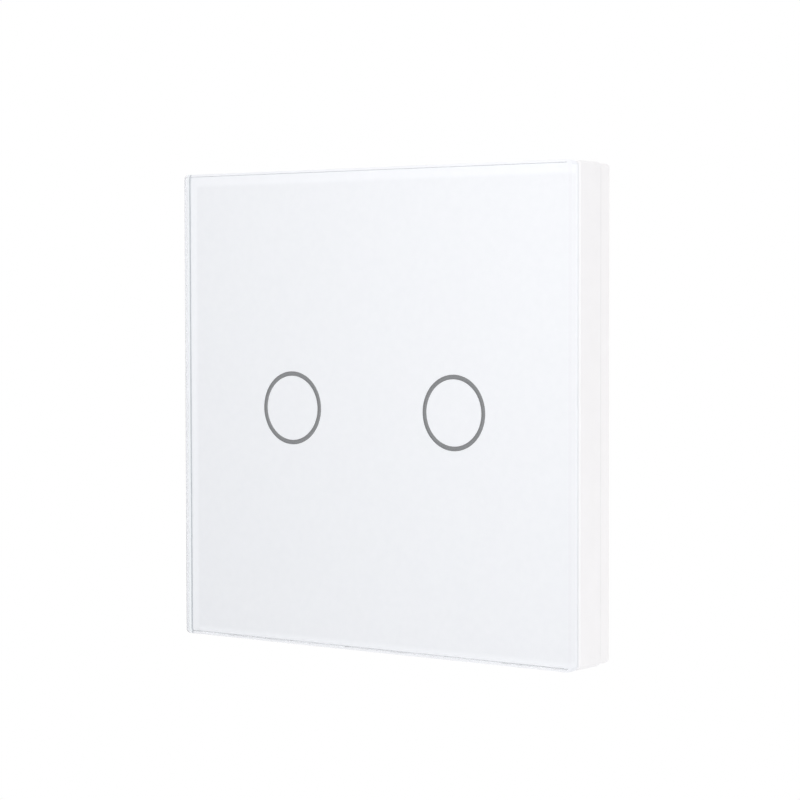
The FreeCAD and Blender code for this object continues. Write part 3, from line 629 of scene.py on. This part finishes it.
# %% Parts on the board
TIN = ((0.62, 0.62, 0.6), (0.75, 0.75, 0.73))
CAN_STEEL = ((0.55, 0.55, 0.53), (0.68, 0.68, 0.66))
CERAMIC = ((0.36, 0.24, 0.14), (0.46, 0.32, 0.2))
FILM = ((0.012, 0.012, 0.014), (0.03, 0.03, 0.034))
RESIN = ((0.016, 0.016, 0.018), (0.03, 0.03, 0.032))
LID_BASE = ((0.2, 0.16, 0.12), (0.26, 0.2, 0.15))
COPPER = ((0.55, 0.22, 0.09), (0.72, 0.33, 0.15))
GOLD = ((0.76, 0.54, 0.23), (0.82, 0.6, 0.27))
BODY_SHARE = 0.6
CHIP_PIN_REACH = 0.001
MASK_SLACK = 0.00001
METAL_OUTSIDE = (0, 1)
METAL_INSIDE = (1, 0)


def ended_chip(node_name, name, tones):
    """A small part that lies along Z, tinned at both ends."""
    low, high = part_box(node_name)
    body = within("Z", (low.z + high.z) / 2, (high.z - low.z) / 2 * BODY_SHARE)
    dress(masked_finish(name, tones, TIN, body, rough=(0.55, 0.3), metal=METAL_OUTSIDE), node_name)


ended_chip("chip_capacitors", "tan_ceramic", CERAMIC)
ended_chip("chip_resistors", "black_film", FILM)

black_resin = worked_finish(
    "black_resin", RESIN, patch=0.0006, grain=0.00008, depth=0.000005, rough=(0.45, 0.6)
)
low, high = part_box("touch_controller_chip")
chip_body = within("Z", (low.z + high.z) / 2, (high.z - low.z) / 2 - CHIP_PIN_REACH + MASK_SLACK)
pinned_resin = masked_finish("pinned_resin", RESIN, TIN, chip_body, rough=(0.5, 0.3), metal=METAL_OUTSIDE)
dress(pinned_resin, "touch_controller_chip")
dress(black_resin, "pairing_switch_base")

dome = metal_finish("lid_steel", CAN_STEEL, patch=0.002, grain=0.00005, depth=0.000002, rough=(0.2, 0.34))
dress(dome, "pairing_switch_dome")
low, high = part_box("crystal_can")
lid = within("Y", low.y, (high.y - low.y) / 2 - MASK_SLACK)
crystal = masked_finish("lid_on_ceramic", CAN_STEEL, LID_BASE, lid, rough=(0.28, 0.6), metal=METAL_INSIDE)
dress(crystal, "crystal_can")

copper = metal_finish("copper_wire", COPPER, patch=0.001, grain=0.0001, depth=0.000003, rough=(0.18, 0.3))
dress(copper, "antenna_coil")
gold = metal_finish("gold_flash", GOLD, patch=0.0015, grain=0.00008, depth=0.000002, rough=(0.2, 0.32))
dress(gold, "negative_contact")

# %% [markdown]
# Copper lines join the parts. They run under the mask, which shows them as low, lighter ridges, and they
# end at plated holes. A white legend is printed over the mask. On the real board both are drawn by a
# plotter, and the helper below does the same: a flat strip follows its route with mitred bends, and is
# then raised a little. Places on the board are written in millimetres, across and up.

# %% Helpers for the board
BITE = 0.00001
TRACK_RISE = 0.00002
LEGEND_RISE = 0.00003
TIN_RISE = 0.00004
SOLDER_SLOPE = 0.35
SOLDER_ROUNDING = 0.3
SPOT_STEPS = 20

board_low, board_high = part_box("circuit_board")
FRONT = (board_low.y, -1)
REAR = (board_high.y, 1)


def board_ring(bm, side, x, z, inner, outer, rise, steps=ROUND_STEPS):
    """A raised ring on one side of the board. All lengths but the rise are in millimetres."""
    level, outwards = side
    back, front = level - outwards * BITE, level + outwards * rise
    ring(bm, (x * MM, z * MM), inner * MM, outer * MM, back, front, steps)


def line(bm, side, points, width, rise):
    """A raised strip on one side of the board, through these points. width is in millimetres."""
    level, outwards = side
    route = [Vector((x * MM, level - outwards * BITE, z * MM)) for x, z in points]
    ways = [(b - a).normalized() for a, b in zip(route, route[1:])]
    strip = bmesh.ops.create_grid(bm, x_segments=len(ways), y_segments=1, size=1)["verts"]
    for v in strip:
        number = round((v.co.x + 1) / 2 * len(ways))
        leaving = ways[min(number, len(ways) - 1)]
        mean = (ways[max(number - 1, 0)] + leaving).normalized()
        reach = width * MM / 2 * v.co.y / mean.dot(leaving)
        v.co = route[number] + Vector((-mean.z, 0, mean.x)) * reach
    raised = bmesh.ops.extrude_face_region(bm, geom=faces_of(strip), use_keep_orig=True)["geom"]
    bmesh.ops.translate(bm, vec=(0, outwards * (rise + BITE), 0), verts=only_verts(raised))


def spot(bm, level, x, z, radius, rise):
    """A round pad, half sunk at this level. All lengths but the rise are in millimetres."""
    made = bmesh.ops.create_cone(
        bm,
        cap_ends=True,
        segments=SPOT_STEPS,
        radius1=radius * MM,
        radius2=radius * MM,
        depth=2 * rise,
    )["verts"]
    bmesh.ops.rotate(bm, matrix=Matrix.Rotation(math.pi / 2, 3, "X"), verts=made)
    bmesh.ops.translate(bm, vec=(x * MM, level, z * MM), verts=made)


def mound(bm, side, x, z, width, height, rise, turn=0.0):
    """A heap of solder with sloping, rounded sides, in millimetres."""
    level, outwards = side
    made = bmesh.ops.create_cube(bm, size=1)["verts"]
    tops = [v for v in made if v.co.y * outwards > 0]
    bmesh.ops.scale(bm, vec=(1 - SOLDER_SLOPE / width, 1, 1 - SOLDER_SLOPE / height), verts=tops)
    bmesh.ops.scale(bm, vec=Vector((width, 2 * rise, height)) * MM, verts=made)
    bmesh.ops.rotate(bm, matrix=Matrix.Rotation(turn, 3, "Y"), verts=made)
    bmesh.ops.translate(bm, vec=(x * MM, level, z * MM), verts=made)
    bevel(bm, edges_of(made), SOLDER_ROUNDING * rise * MM, 2)


# %% [markdown]
# On the front, lines lead from the touch controller to the springs, the lamps and the resistors, and
# down to the radio chip, its crystal and the aerial. Most of them come twice, as mirror images left and
# right. Short arcs lead from lamp to lamp behind each ring.

# %% Routes of the copper lines
LAMP_CIRCLE = 6.15
FIRST_LAMP = 45
ARC_STEP = 10
LINE_PITCH = 1.1
RING_MM = ring_x / MM
TEST_ROW = (13.2, 15.2, 17.2)

front_lines = [
    [(-14.4, 0), (-8.2, 0), (-1.9, 6.3)],
    [(21.6, 0), (8.2, 0), (1.9, 6.3)],
    [(2, -13.2), (5.4, -13.2)],
    [(2, -14.8), (5.4, -14.8)],
    [(1.3, -21.8), (1.3, -25.4), (6.9, -31)],
    [(-1.3, -21.8), (-1.3, -24)],
]
rear_lines = [
    [(0.63, 14.2), (6.86, 20.43), (22.9, 20.43)],
    [(-0.63, 14.2), (8.8, 23.63), (22.9, 23.63)],
    [(1.3, 20.6), (1.3, 27), (20, 27)],
    [(-1.3, 20.6), (-1.3, 28.2), (20, 28.2)],
    [(-9.5, 22), (-13.5, 26), (-24, 26), (-26, 24), (-26, -25), (-24, -27), (-4.3, -27), (-1.3, -24)],
    [(-3.9, 14.4), (-3.9, 19.2)],
    [(3.9, -24), (6.4, -26.5), (26, -26.5)],
    [(6.5, -24), (26, -24)],
    [(6.5, -18), (24, -18), (28, -14), (28, 14)],
    [(-6.5, -18), (-3.5, -15), (20, -15)],
]
rear_lines += [[(x, -10.6), (x, -7.6)] for x in TEST_ROW]
bundle = [(6.2 + LINE_PITCH * number, 9.2 + LINE_PITCH * number) for number in range(4)]
for number, (start, end) in enumerate(bundle):
    jog = -5 - LINE_PITCH / 2 * number
    rear_lines.append([(start, -10.6), (start, jog), (end, jog + 3), (end, 12)])
mirrored_lines = [
    [(13.65, 4.35), (6.5, 11.5), (6.5, 16.2)],
    [(1.9, 11.7), (1.9, 12.7), (1.3, 13.3), (1.3, 16.2)],
    [(0.63, 11.7), (0.63, 14.2)],
    [(0.63, 6.3), (0.63, -12)],
    [(1.3, 17.8), (1.3, 20.6)],
    [(3.9, 17.8), (3.9, 19.2)],
    [(3.9, 16.2), (3.9, 14.4)],
    [(6.5, 17.8), (6.5, 19), (9.5, 22)],
    [(1.3, -16), (1.3, -20.2)],
    [(2, -15.2), (3.9, -17.1), (3.9, -20.2)],
    [(6.5, -20.2), (6.5, -18)],
    [(3.9, -21.8), (3.9, -24)],
    [(6.5, -21.8), (6.5, -24)],
]
for side in (-1, 1):
    front_lines += [[(side * x, z) for x, z in points] for points in mirrored_lines]
    for quarter in range(3):
        lamp_at = FIRST_LAMP + 90 * quarter - 90 * (side > 0)
        angles = [math.radians(lamp_at + ARC_STEP * number) for number in range(1, 9)]
        front_lines.append(
            [(side * RING_MM + LAMP_CIRCLE * math.cos(a), LAMP_CIRCLE * math.sin(a)) for a in angles]
        )
print(len(front_lines), "routes on the front and", len(rear_lines), "on the rear")

# %% [markdown]
# The routes become strips under the mask. A wide line goes round the rim of both sides and screens what
# is inside. The widest lines carry the cell's current.

# %% Copper lines
TRACK = 0.25
POWER = 1.4
RIM_LINE = 0.9
RIM = 33.2
RIM_CUT = 31.5
NOTCH = 7.6
MASK_RIDGE = {"patch": CLOTH_PITCH, "grain": 0.0002, "depth": 0.000002, "rough": MASK_GLOSS}

rim_line = [(NOTCH, -RIM), (RIM_CUT, -RIM), (RIM, -RIM_CUT), (RIM, RIM_CUT), (RIM_CUT, RIM)]
rim_line += [(-x, z) for x, z in reversed(rim_line)]
power_lines = [[(-10, 13), (-10, 18.1)], [(-10, -13), (-10, -18.1)], [(-4.2, 0), (4.6, 0)]]
copper_under_mask = worked_finish("mask_over_copper", MASK_OVER_COPPER, **MASK_RIDGE)
bm = bmesh.new()
for side, lines in ((FRONT, front_lines), (REAR, rear_lines)):
    for points in lines:
        line(bm, side, points, TRACK, TRACK_RISE)
    line(bm, side, rim_line, RIM_LINE, TRACK_RISE)
for points in power_lines:
    line(bm, REAR, points, POWER, TRACK_RISE)
finish_piece("board_lines", bm, [copper_under_mask])

# %% [markdown]
# Bare copper is tinned. Plated holes stand at the ends of the lines that change sides, and in a row along
# the rim. Each is a low ring on both sides of the board.

# %% Plated holes
HOLE = (0.14, 0.32)
HOLE_STEPS = 16
HOLE_PITCH = 6
SOLDER_TONES = ((0.64, 0.64, 0.63), (0.74, 0.74, 0.73))

solder = metal_finish("solder", SOLDER_TONES, patch=0.0005, grain=0.0001, depth=0.000004, rough=(0.2, 0.34))
holes = [(0.63, 14.2), (1.3, 20.6), (3.9, 14.4), (3.9, 19.2), (9.5, 22), (6.5, -18), (3.9, -24), (6.5, -24)]
holes += [(-x, z) for x, z in holes]
holes += [(-1.3, -24), (20, 27), (20, 28.2), (20, -15), (26, -24), (26, -26.5), (28, 14)]
holes += [(start, -10.6) for start, end in bundle] + [(end, 12) for start, end in bundle]
holes += [(x, z) for x in (3.2, 4.2) for z in (-0.45, 0.45)] + [(x, -7.6) for x in TEST_ROW]
holes += [(x, z) for x in (-10.5, -9.5) for z in (-17.6, 17.6)]
for number in range(-5, 6):
    along = HOLE_PITCH * number
    holes += [(-RIM, along), (RIM, along), (along, RIM)]
    if abs(along) > NOTCH:
        holes.append((along, -RIM))

bm = bmesh.new()
for x, z in holes:
    for side in (FRONT, REAR):
        board_ring(bm, side, x, z, *HOLE, TIN_RISE, HOLE_STEPS)
finish_piece("plated_holes", bm, [solder])

# %% [markdown]
# Solder stands as small heaps at the ends of each part, along the feet of the clip, at the ends of the
# springs and the aerial, and at the four short pins of the push switch. The pads of the clip and of the
# cell's contact are tinned, and so are three test points. A heap's size is its width, height and rise.

# %% Pads and solder
CHIP_ROW = (-6.5, -3.9, -1.3, 1.3, 3.9, 6.5)
CLIP_PAD = 3
CONTACT_PAD = 1.6
TEST_POINT = 0.6
CLIP_HEAP = (11.6, 0.8, 0.25)
SPRING_HEAP = (1, 1.4, 0.35)
LAMP_HEAP = (0.8, 0.5, 0.28)
CHIP_HEAP = (0.9, 0.6, 0.3)
PIN_HEAP = (1, 0.8, 0.15)
AERIAL_HEAP = (1.1, 1, 0.55)

switch_low, switch_high = (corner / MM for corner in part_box("pairing_switch_base"))
bm = bmesh.new()
for side in (-1, 1):
    line(bm, REAR, [(-16.4, side * 11.8), (-3.6, side * 11.8)], CLIP_PAD, TIN_RISE)
    mound(bm, REAR, -10, side * 12.75, *CLIP_HEAP)
    mound(bm, FRONT, side * RING_MM + 3.6, -0.7, *SPRING_HEAP)
    for number in range(4):
        angle = math.radians(FIRST_LAMP + 90 * number)
        for end in (-1, 1):
            x = side * RING_MM + LAMP_CIRCLE * math.cos(angle) - end * math.sin(angle)
            z = LAMP_CIRCLE * math.sin(angle) + end * math.cos(angle)
            mound(bm, FRONT, x, z, *LAMP_HEAP, -angle)
    for x in CHIP_ROW:
        for row in (17, -21):
            mound(bm, FRONT, x, row + side, *CHIP_HEAP)
    for z in (switch_low.z + 0.8, switch_high.z - 0.8):
        x = (switch_low.x + switch_high.x) / 2 + side * 2.7
        mound(bm, REAR, x, z, *PIN_HEAP)
    mound(bm, (REAR, FRONT)[side > 0], side * 6.9, -31.03, *AERIAL_HEAP)
line(bm, REAR, [(-20.35, -3.5), (-20.35, 3.5)], CONTACT_PAD, TIN_RISE)
for x in TEST_ROW:
    spot(bm, REAR[0], x, -10.6, TEST_POINT, TIN_RISE)
finish_piece("solder_and_pads", bm, [solder])

# %% [markdown]
# The legend shows where the parts go: rings for the light guides, the outline of the cell with its two
# poles, and marks round the chips. It has no letters.

# %% Legend and marks on the chips
LEGEND = 0.18
POLE_LINE = 0.3
GUIDE_CIRCLE = 9
CELL_CIRCLE = 11.1
DOT = 0.25
DOT_RISE = 0.00001
LEGEND_MOTTLE = 0.0002
LEGEND_TONES = ((0.72, 0.73, 0.7), (0.82, 0.83, 0.8))

legend_white, shader = new_finish("legend_white")
tone = two_tones(legend_white, speckle(legend_white, LEGEND_MOTTLE), *LEGEND_TONES)
fill(legend_white, shader, {"Base Color": tone, "Roughness": INK_ROUGHNESS})


def outline_box(x, z, half_width, half_height):
    """Four sides round this place. The last runs on a little and closes the corner."""
    corners = [(-1, -1), (1, -1), (1, 1), (-1, 1), (-1, -1.02)]
    return [(x + across * half_width, z + up * half_height) for across, up in corners]


bm = bmesh.new()
for side in (-1, 1):
    board_ring(bm, FRONT, side * RING_MM, 0, GUIDE_CIRCLE, GUIDE_CIRCLE + LEGEND, LEGEND_RISE)
    line(bm, FRONT, [(side * 2.8, 7.1), (side * 2.8, 10.9)], LEGEND, LEGEND_RISE)
board_ring(bm, REAR, -10, 0, CELL_CIRCLE, CELL_CIRCLE + LEGEND, LEGEND_RISE)
line(bm, FRONT, outline_box(6.5, -14, 1.7, 2.05), LEGEND, LEGEND_RISE)
line(bm, FRONT, outline_box(0, -14, 2.5, 2.5), LEGEND, LEGEND_RISE)
line(bm, REAR, outline_box(26.03, 22.03, 3.5, 2.6), LEGEND, LEGEND_RISE)
line(bm, REAR, [(-19, 10.6), (-17, 10.6)], POLE_LINE, LEGEND_RISE)
line(bm, REAR, [(-18, 9.6), (-18, 11.6)], POLE_LINE, 1.2 * LEGEND_RISE)
line(bm, REAR, [(1, 10.6), (3, 10.6)], POLE_LINE, LEGEND_RISE)
for node_name, x, z in (("touch_controller_chip", -1.7, 7.8), ("radio_chip", -1.3, -12.7)):
    spot(bm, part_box(node_name)[0].y, x, z, DOT, DOT_RISE)
finish_piece("board_legend", bm, [legend_white])

# %% [markdown]
# The radio chip has no legs. Its black body has a softened rim and a row of flat tinned pads under each
# side, which just peek out.

# %% Radio chip
PAD_PEEK = 0.00004
PADS_PER_SIDE = 5
PAD_PITCH = 0.00065
PAD_SIZE = Vector((0.0004, 0.0002, 0.0003))
RESIN_ROUNDING = 0.00008

low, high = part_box("radio_chip")
bm = bmesh.new()
inset = Vector((PAD_PEEK, 0, PAD_PEEK))
block(bm, low + inset, high - inset)
rims = [e for e in bm.edges if any(v.co.y < high.y - PAD_PEEK for v in e.verts)]
bevel(bm, rims, RESIN_ROUNDING, 2)
chip_centre = (low + high) / 2
for quarter in range(4):
    turn = Matrix.Rotation(quarter * math.pi / 2, 3, "Y")
    for number in range(PADS_PER_SIDE):
        along = (number - (PADS_PER_SIDE - 1) / 2) * PAD_PITCH
        far = Vector((high.x, high.y, chip_centre.z + along + PAD_SIZE.z / 2))
        made = block(bm, far - PAD_SIZE, far)
        bmesh.ops.rotate(bm, cent=chip_centre, matrix=turn, verts=made)
        for face in faces_of(made):
            face.material_index = 1
radio = finish_piece("radio_package", bm, [black_resin, solder])
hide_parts("radio_chip")

# %% [markdown]
# The battery clip is stamped from nickel-plated spring sheet and bent. It is made the same way here: a
# flat strip is laid along the outside of the clip, round each fold, and is then given its thickness. A
# short arm bends down at one end and stops the cell. The grain of the rolled sheet runs along it.

# %% Battery clip
CLIP_SHEET = 0.0003
CLIP_FOOT = 0.002
CLIP_WIDTH = 0.012
STOP_WIDTH = 0.006
FOLD = 0.00045
FOLD_STEPS = 4
ROLLED = {"patch": 0.003, "grain": 0.00006, "depth": 0.000003, "rough": (0.22, 0.36)}


def bent_strip(bm, path, way, half_width):
    """Sheet metal that follows the path, with each fold as an arc, and reaches half_width to both sides."""
    points = [Vector(path[0])]
    for before, fold, after in zip(path, path[1:], path[2:]):
        came = (Vector(fold) - Vector(before)).normalized()
        goes = (Vector(after) - Vector(fold)).normalized()
        for number in range(FOLD_STEPS + 1):
            angle = math.pi / 2 / FOLD_STEPS * number
            turned = came * (math.sin(angle) - 1) + goes * (1 - math.cos(angle))
            points.append(Vector(fold) + turned * FOLD)
    points.append(Vector(path[-1]))
    strip = bmesh.ops.create_grid(bm, x_segments=len(points) - 1, y_segments=1, size=1)["verts"]
    for v in strip:
        v.co = points[round((v.co.x + 1) / 2 * (len(points) - 1))] + Vector(way) * (half_width * v.co.y)
    bm.normal_update()
    bmesh.ops.solidify(bm, geom=faces_of(strip), thickness=-CLIP_SHEET)


low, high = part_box("battery_clip")
strap_x = high.x - CLIP_WIDTH / 2
foot_y = low.y + CLIP_SHEET
leg_z = high.z - CLIP_FOOT
half_path = [(strap_x, foot_y, high.z), (strap_x, foot_y, leg_z), (strap_x, high.y, leg_z)]
bm = bmesh.new()
bent_strip(bm, half_path + [(x, y, -z) for x, y, z in reversed(half_path)], (1, 0, 0), CLIP_WIDTH / 2)
stop_path = [(high.x - CLIP_WIDTH, high.y, 0), (low.x, high.y, 0), (low.x, low.y, 0)]
bent_strip(bm, stop_path, (0, 0, -1), STOP_WIDTH / 2)
print_reach("clip", bm)
clip_steel = metal_finish("clip_steel", NICKEL, **ROLLED, stretch=(1, 1, 0.08))
clip = finish_piece("bent_clip", bm, [clip_steel])
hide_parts("battery_clip")

# %% [markdown]
# The ends of the aerial's wire bend over the edge of the board, one on each side, and go into a heap of
# solder. Each is a disc that is pushed out, spun round the board's edge and pushed on.

# %% Ends of the aerial
WIRE = 0.00025
NOTCH_EDGE = 0.006
TAIL = 0.0008
WIRE_STEPS = 16
BEND_STEPS = 6

coil_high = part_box("antenna_coil")[1]
coil_end_x = coil_high.x - WIRE
bm = bmesh.new()
for across, level in ((-1, REAR[0]), (1, FRONT[0])):
    start = Vector((across * coil_end_x, (board_low.y + board_high.y) / 2, coil_high.z - WIRE))
    made = bmesh.ops.create_circle(bm, cap_ends=True, radius=WIRE, segments=WIRE_STEPS)["verts"]
    bmesh.ops.rotate(bm, matrix=Matrix.Rotation(math.pi / 2, 3, "X"), verts=made)
    bmesh.ops.translate(bm, vec=start, verts=made)
    end = [made[0].link_faces[0]]
    for way in (Vector((0, level - start.y, 0)), None, Vector((across * TAIL, 0, 0))):
        if way:
            pushed = bmesh.ops.extrude_face_region(bm, geom=end)["geom"]
            bmesh.ops.translate(bm, vec=way, verts=only_verts(pushed))
        else:
            pushed = bmesh.ops.spin(
                bm,
                geom=end,
                cent=(across * NOTCH_EDGE, level, start.z),
                axis=(0, 0, 1),
                angle=math.pi / 2,
                steps=BEND_STEPS,
            )["geom_last"]
        end = [p for p in pushed if isinstance(p, bmesh.types.BMFace)]
print_reach("aerial ends", bm)
finish_piece("aerial_ends", bm, [copper])

# %% [markdown]
# Zinc-plated screws have a slightly mottled, bluish shine. The pairing button is grey plastic. The coin
# cell's case and cap are stainless steel, ground in one direction, with a pale nylon gasket between them.

# %% Screws, button and cell
ZINC = ((0.5, 0.52, 0.56), (0.68, 0.69, 0.71))
BUTTON_TONES = ((0.11, 0.115, 0.125), (0.14, 0.145, 0.155))
NYLON = ((0.55, 0.55, 0.5), (0.66, 0.66, 0.6))
GROUND = {"patch": 0.003, "grain": 0.00005, "depth": 0.000002, "rough": (0.2, 0.36)}

zinc = metal_finish("zinc", ZINC, patch=0.0008, grain=0.0001, depth=0.000004, rough=(0.25, 0.4))
dress(zinc, "cover_screws", "board_screws")
button_grey = worked_finish(
    "button_grey", BUTTON_TONES, patch=0.002, grain=0.00015, depth=0.000005, rough=(0.35, 0.5)
)
dress(button_grey, "pairing_button")
ground_steel = metal_finish("ground_steel", CAN_STEEL, **GROUND, stretch=(0.04, 1, 1))
dress(ground_steel, "coin_cell_can", "coin_cell_cap")
nylon = worked_finish("nylon", NYLON, patch=0.001, grain=0.0001, depth=0.000004, rough=(0.4, 0.5))
dress(nylon, "coin_cell_gasket")

# %% [markdown]
# A cell's case carries an etched plus sign that says which pole it is. It is a thin, dark piece on the
# case, so it moves with the cell.

# %% Polarity mark on the cell
MARK_LENGTH = 0.004
MARK_WIDTH = 0.0006
MARK_RISE = 0.00002
ETCHED_TONES = ((0.12, 0.12, 0.12), (0.2, 0.2, 0.2))

etched = worked_finish(
    "etched_steel", ETCHED_TONES, patch=0.0004, grain=0.00006, depth=0.000003, rough=(0.5, 0.6)
)
cell_low, cell_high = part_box("coin_cell_can")
cell_middle = (cell_low + cell_high) / 2
bm = bmesh.new()
for length, width in ((MARK_LENGTH, MARK_WIDTH), (MARK_WIDTH, MARK_LENGTH)):
    half = Vector((length / 2, 0, width / 2))
    back = Vector((cell_middle.x, cell_high.y, cell_middle.z))
    block(bm, back - half, back + half + Vector((0, MARK_RISE, 0)))
finish_piece("cell_plus_mark", bm, [etched], body="coin_cell")

# %% [markdown]
# The light is a plain soft studio: a pale room and two soft lamps. The room is white to the camera, and to
# what mirrors or passes it on. As a lamp it has its full strength behind the switch and round it, and is
# dim in front and on the left.

# %% Room
ROOM_IN_FRONT = 0.212
ROOM_AROUND = 0.98
ROOM_BRIGHT_WAY = (0.208, 0.978, 0)
ROOM_TINT = (0.985, 0.992, 1.0)


def seen_by_eye(finish):
    """1 for the camera's own rays and for what they meet in glass and gloss, and 0 for stray light."""
    rays = add(finish, "ShaderNodeLightPath")
    total = rays["Is Camera Ray"]
    for name in ("Is Glossy Ray", "Is Transmission Ray"):
        total = math_node(finish, "MAXIMUM", total, rays[name])
    first = math_node(finish, "LESS_THAN", rays["Diffuse Depth"], 0.5)
    return math_node(finish, "MULTIPLY", total, first)


room = bpy.data.worlds.new("room")
room.use_nodes = True
direction = add(room, "ShaderNodeTexCoord")["Generated"]
along_bright = {0: direction, 1: ROOM_BRIGHT_WAY}
towards = add(room, "ShaderNodeVectorMath", along_bright, operation="DOT_PRODUCT")["Value"]
light = room.node_tree.nodes["Background"]
strength = ranged(room, towards, -1, 0, ROOM_IN_FRONT, ROOM_AROUND)
fill(room, light, {"Color": ROOM_TINT, "Strength": strength})
backdrop = add(room, "ShaderNodeBackground", {"Color": (1, 1, 1)})[0]
show(room, blended(room, seen_by_eye(room), light.outputs[0], backdrop), "World Output")
scene.world = room
print("the room shines with", ROOM_IN_FRONT, "in front and", ROOM_AROUND, "behind")

# %% [markdown]
# In front a near lamp, up on the right, takes over from the room, and it lets the glass grow darker towards
# its lower left corner. A second lamp, low on the right, fills the lower edges. The lamps have no mirror
# image in the glass, as if they stood behind a white screen.

# %% Lamps
KEY_PLACE = Vector((0.12, -0.30, 0.12))
KEY_SIDE = 0.26
KEY_RADIANCE = 2.95
KEY_TINT = (1.0, 0.975, 0.95)
LOW_PLACE = Vector((0.24, -0.04, -0.38))
LOW_SIDE = 0.24
LOW_RADIANCE = 1.9
LOW_TINT = (1.0, 0.99, 0.98)


def hide_from(thing, *kinds):
    for kind in kinds:
        setattr(thing, "visible_" + kind, False)


def soft_lamp(name, place, side, radiance, tint, target):
    """A square lamp that looks at the target. Its watts follow from how bright its face should be."""
    lamp_data = bpy.data.lights.new(name, "AREA")
    lamp_data.shape = "SQUARE"
    lamp_data.size = side
    lamp_data.energy = radiance * math.pi * side * side
    lamp_data.color = tint
    made = bpy.data.objects.new(name, lamp_data)
    made.location = place
    made.rotation_mode = "QUATERNION"
    made.rotation_quaternion = (target - place).to_track_quat("-Z", "Y")
    hide_from(made, "camera", "glossy", "transmission")
    scene.collection.objects.link(made)
    print(name, round(lamp_data.energy, 3), "W at", round((target - place).length, 2), "m")


centre = (cad_low + cad_high) / 2
soft_lamp("key_lamp", KEY_PLACE, KEY_SIDE, KEY_RADIANCE, KEY_TINT, centre)
soft_lamp("low_lamp", LOW_PLACE, LOW_SIDE, LOW_RADIANCE, LOW_TINT, centre)

# %% [markdown]
# The floor is a wide pale plane far below, because the switch hangs on a wall. It returns a little light
# from underneath. To the camera it is as white as the room.

# %% Floor
FLOOR_Z = -0.5
FLOOR_HALF = 3.0
FLOOR_COLOUR = (0.9, 0.9, 0.9)
FLOOR_ROUGHNESS = 0.9

bm = bmesh.new()
bmesh.ops.create_grid(bm, x_segments=1, y_segments=1, size=FLOOR_HALF)
bmesh.ops.translate(bm, vec=(0, 0, FLOOR_Z), verts=bm.verts)
floor = new_object("floor", bm)
pale_floor, shader = new_finish("pale_floor")
fill(pale_floor, shader, {"Base Color": FLOOR_COLOUR, "Roughness": FLOOR_ROUGHNESS})
white = add(pale_floor, "ShaderNodeEmission")[0]
show(pale_floor, blended(pale_floor, seen_by_eye(pale_floor), shader.outputs[0], white))
pale_floor.cycles.emission_sampling = "NONE"
floor.data.materials.append(pale_floor)
print("floor", 2 * FLOOR_HALF, "m wide, at", FLOOR_Z, "m")

# %% [markdown]
# Clear glass has no outline before a white wall. A photographer gives it one with a grey card that its rim
# mirrors. This card stands at the back on the left, and is dark at its foot and white at its top. Only
# gloss and glass show it, so it takes no light away.

# %% Grey card
CARD_LOW = -0.45
CARD_HIGH = 0.25
CARD_HALF_WIDTH = 0.16
CARD_PLACE = Vector((-0.443, 0.287, 0))
CARD_DARK = 0.03
CARD_DARK_BELOW = -0.09
CARD_WHITE_ABOVE = 0.14

bm = bmesh.new()
bmesh.ops.create_grid(bm, x_segments=1, y_segments=1, size=1)
bmesh.ops.scale(bm, vec=(CARD_HALF_WIDTH, (CARD_HIGH - CARD_LOW) / 2, 1), verts=bm.verts)
upright = CARD_PLACE.to_track_quat("Z", "Y").to_matrix()
bmesh.ops.rotate(bm, matrix=upright, verts=bm.verts)
bmesh.ops.translate(bm, vec=CARD_PLACE + Vector((0, 0, (CARD_LOW + CARD_HIGH) / 2)), verts=bm.verts)
card = new_object("grey_card", bm)
hide_from(card, "camera", "diffuse", "shadow")
card_grey = new_finish("card_grey")[0]
height = along_axes(card_grey)["Z"]
grade = ranged(card_grey, height, CARD_DARK_BELOW, CARD_WHITE_ABOVE, CARD_DARK)
show(card_grey, add(card_grey, "ShaderNodeEmission", {"Strength": grade})[0])
card_grey.cycles.emission_sampling = "NONE"
card.data.materials.append(card_grey)
print("grey card from", in_mm(card.bound_box[0]), "to", in_mm(card.bound_box[6]))

# %% [markdown]
# The camera stands where the photographer stood: in front, well to the right, and slightly above. A long
# lens keeps the far edge of the glass nearly as tall as the near one. Its place was found by fitting the
# outline of an 86 mm square of glass to the picture. It is written as how the switch is turned before
# the lens and how far away the middle of the glass is.

# %% Camera
LENS_MM = 111.102
SENSOR_MM = 36
NEAREST = 0.01
TURN = math.radians(-36.682)
TILT = math.radians(2.365)
ROLL = math.radians(-0.111)
ASIDE = -0.0060372
DISTANCE = 0.4378661
RAISED = -0.0018891

turned = Matrix.Rotation(ROLL, 3, "Y") @ Matrix.Rotation(TILT, 3, "X") @ Matrix.Rotation(TURN, 3, "Z")
back_to_frame = turned.transposed()
glass_centre = Vector((0, glass_low.y, 0))
lens_place = glass_centre - back_to_frame @ Vector((ASIDE, DISTANCE, RAISED))
right, forward, up = (back_to_frame @ Vector(axis) for axis in ((1, 0, 0), (0, 1, 0), (0, 0, 1)))
camera_data = bpy.data.cameras.new("camera")
camera_data.lens = LENS_MM
camera_data.sensor_width = SENSOR_MM
camera_data.clip_start = NEAREST
camera = bpy.data.objects.new("camera", camera_data)
scene.collection.objects.link(camera)
camera.matrix_world = Matrix.Translation(lens_place) @ Matrix((right, up, -forward)).transposed().to_4x4()
scene.camera = camera
print("camera at", in_mm(lens_place))

# %% [markdown]
# The colours are shown as they are written, so the view transform is the plain one.

# %% The view transform
scene.view_settings.view_transform = "Standard"
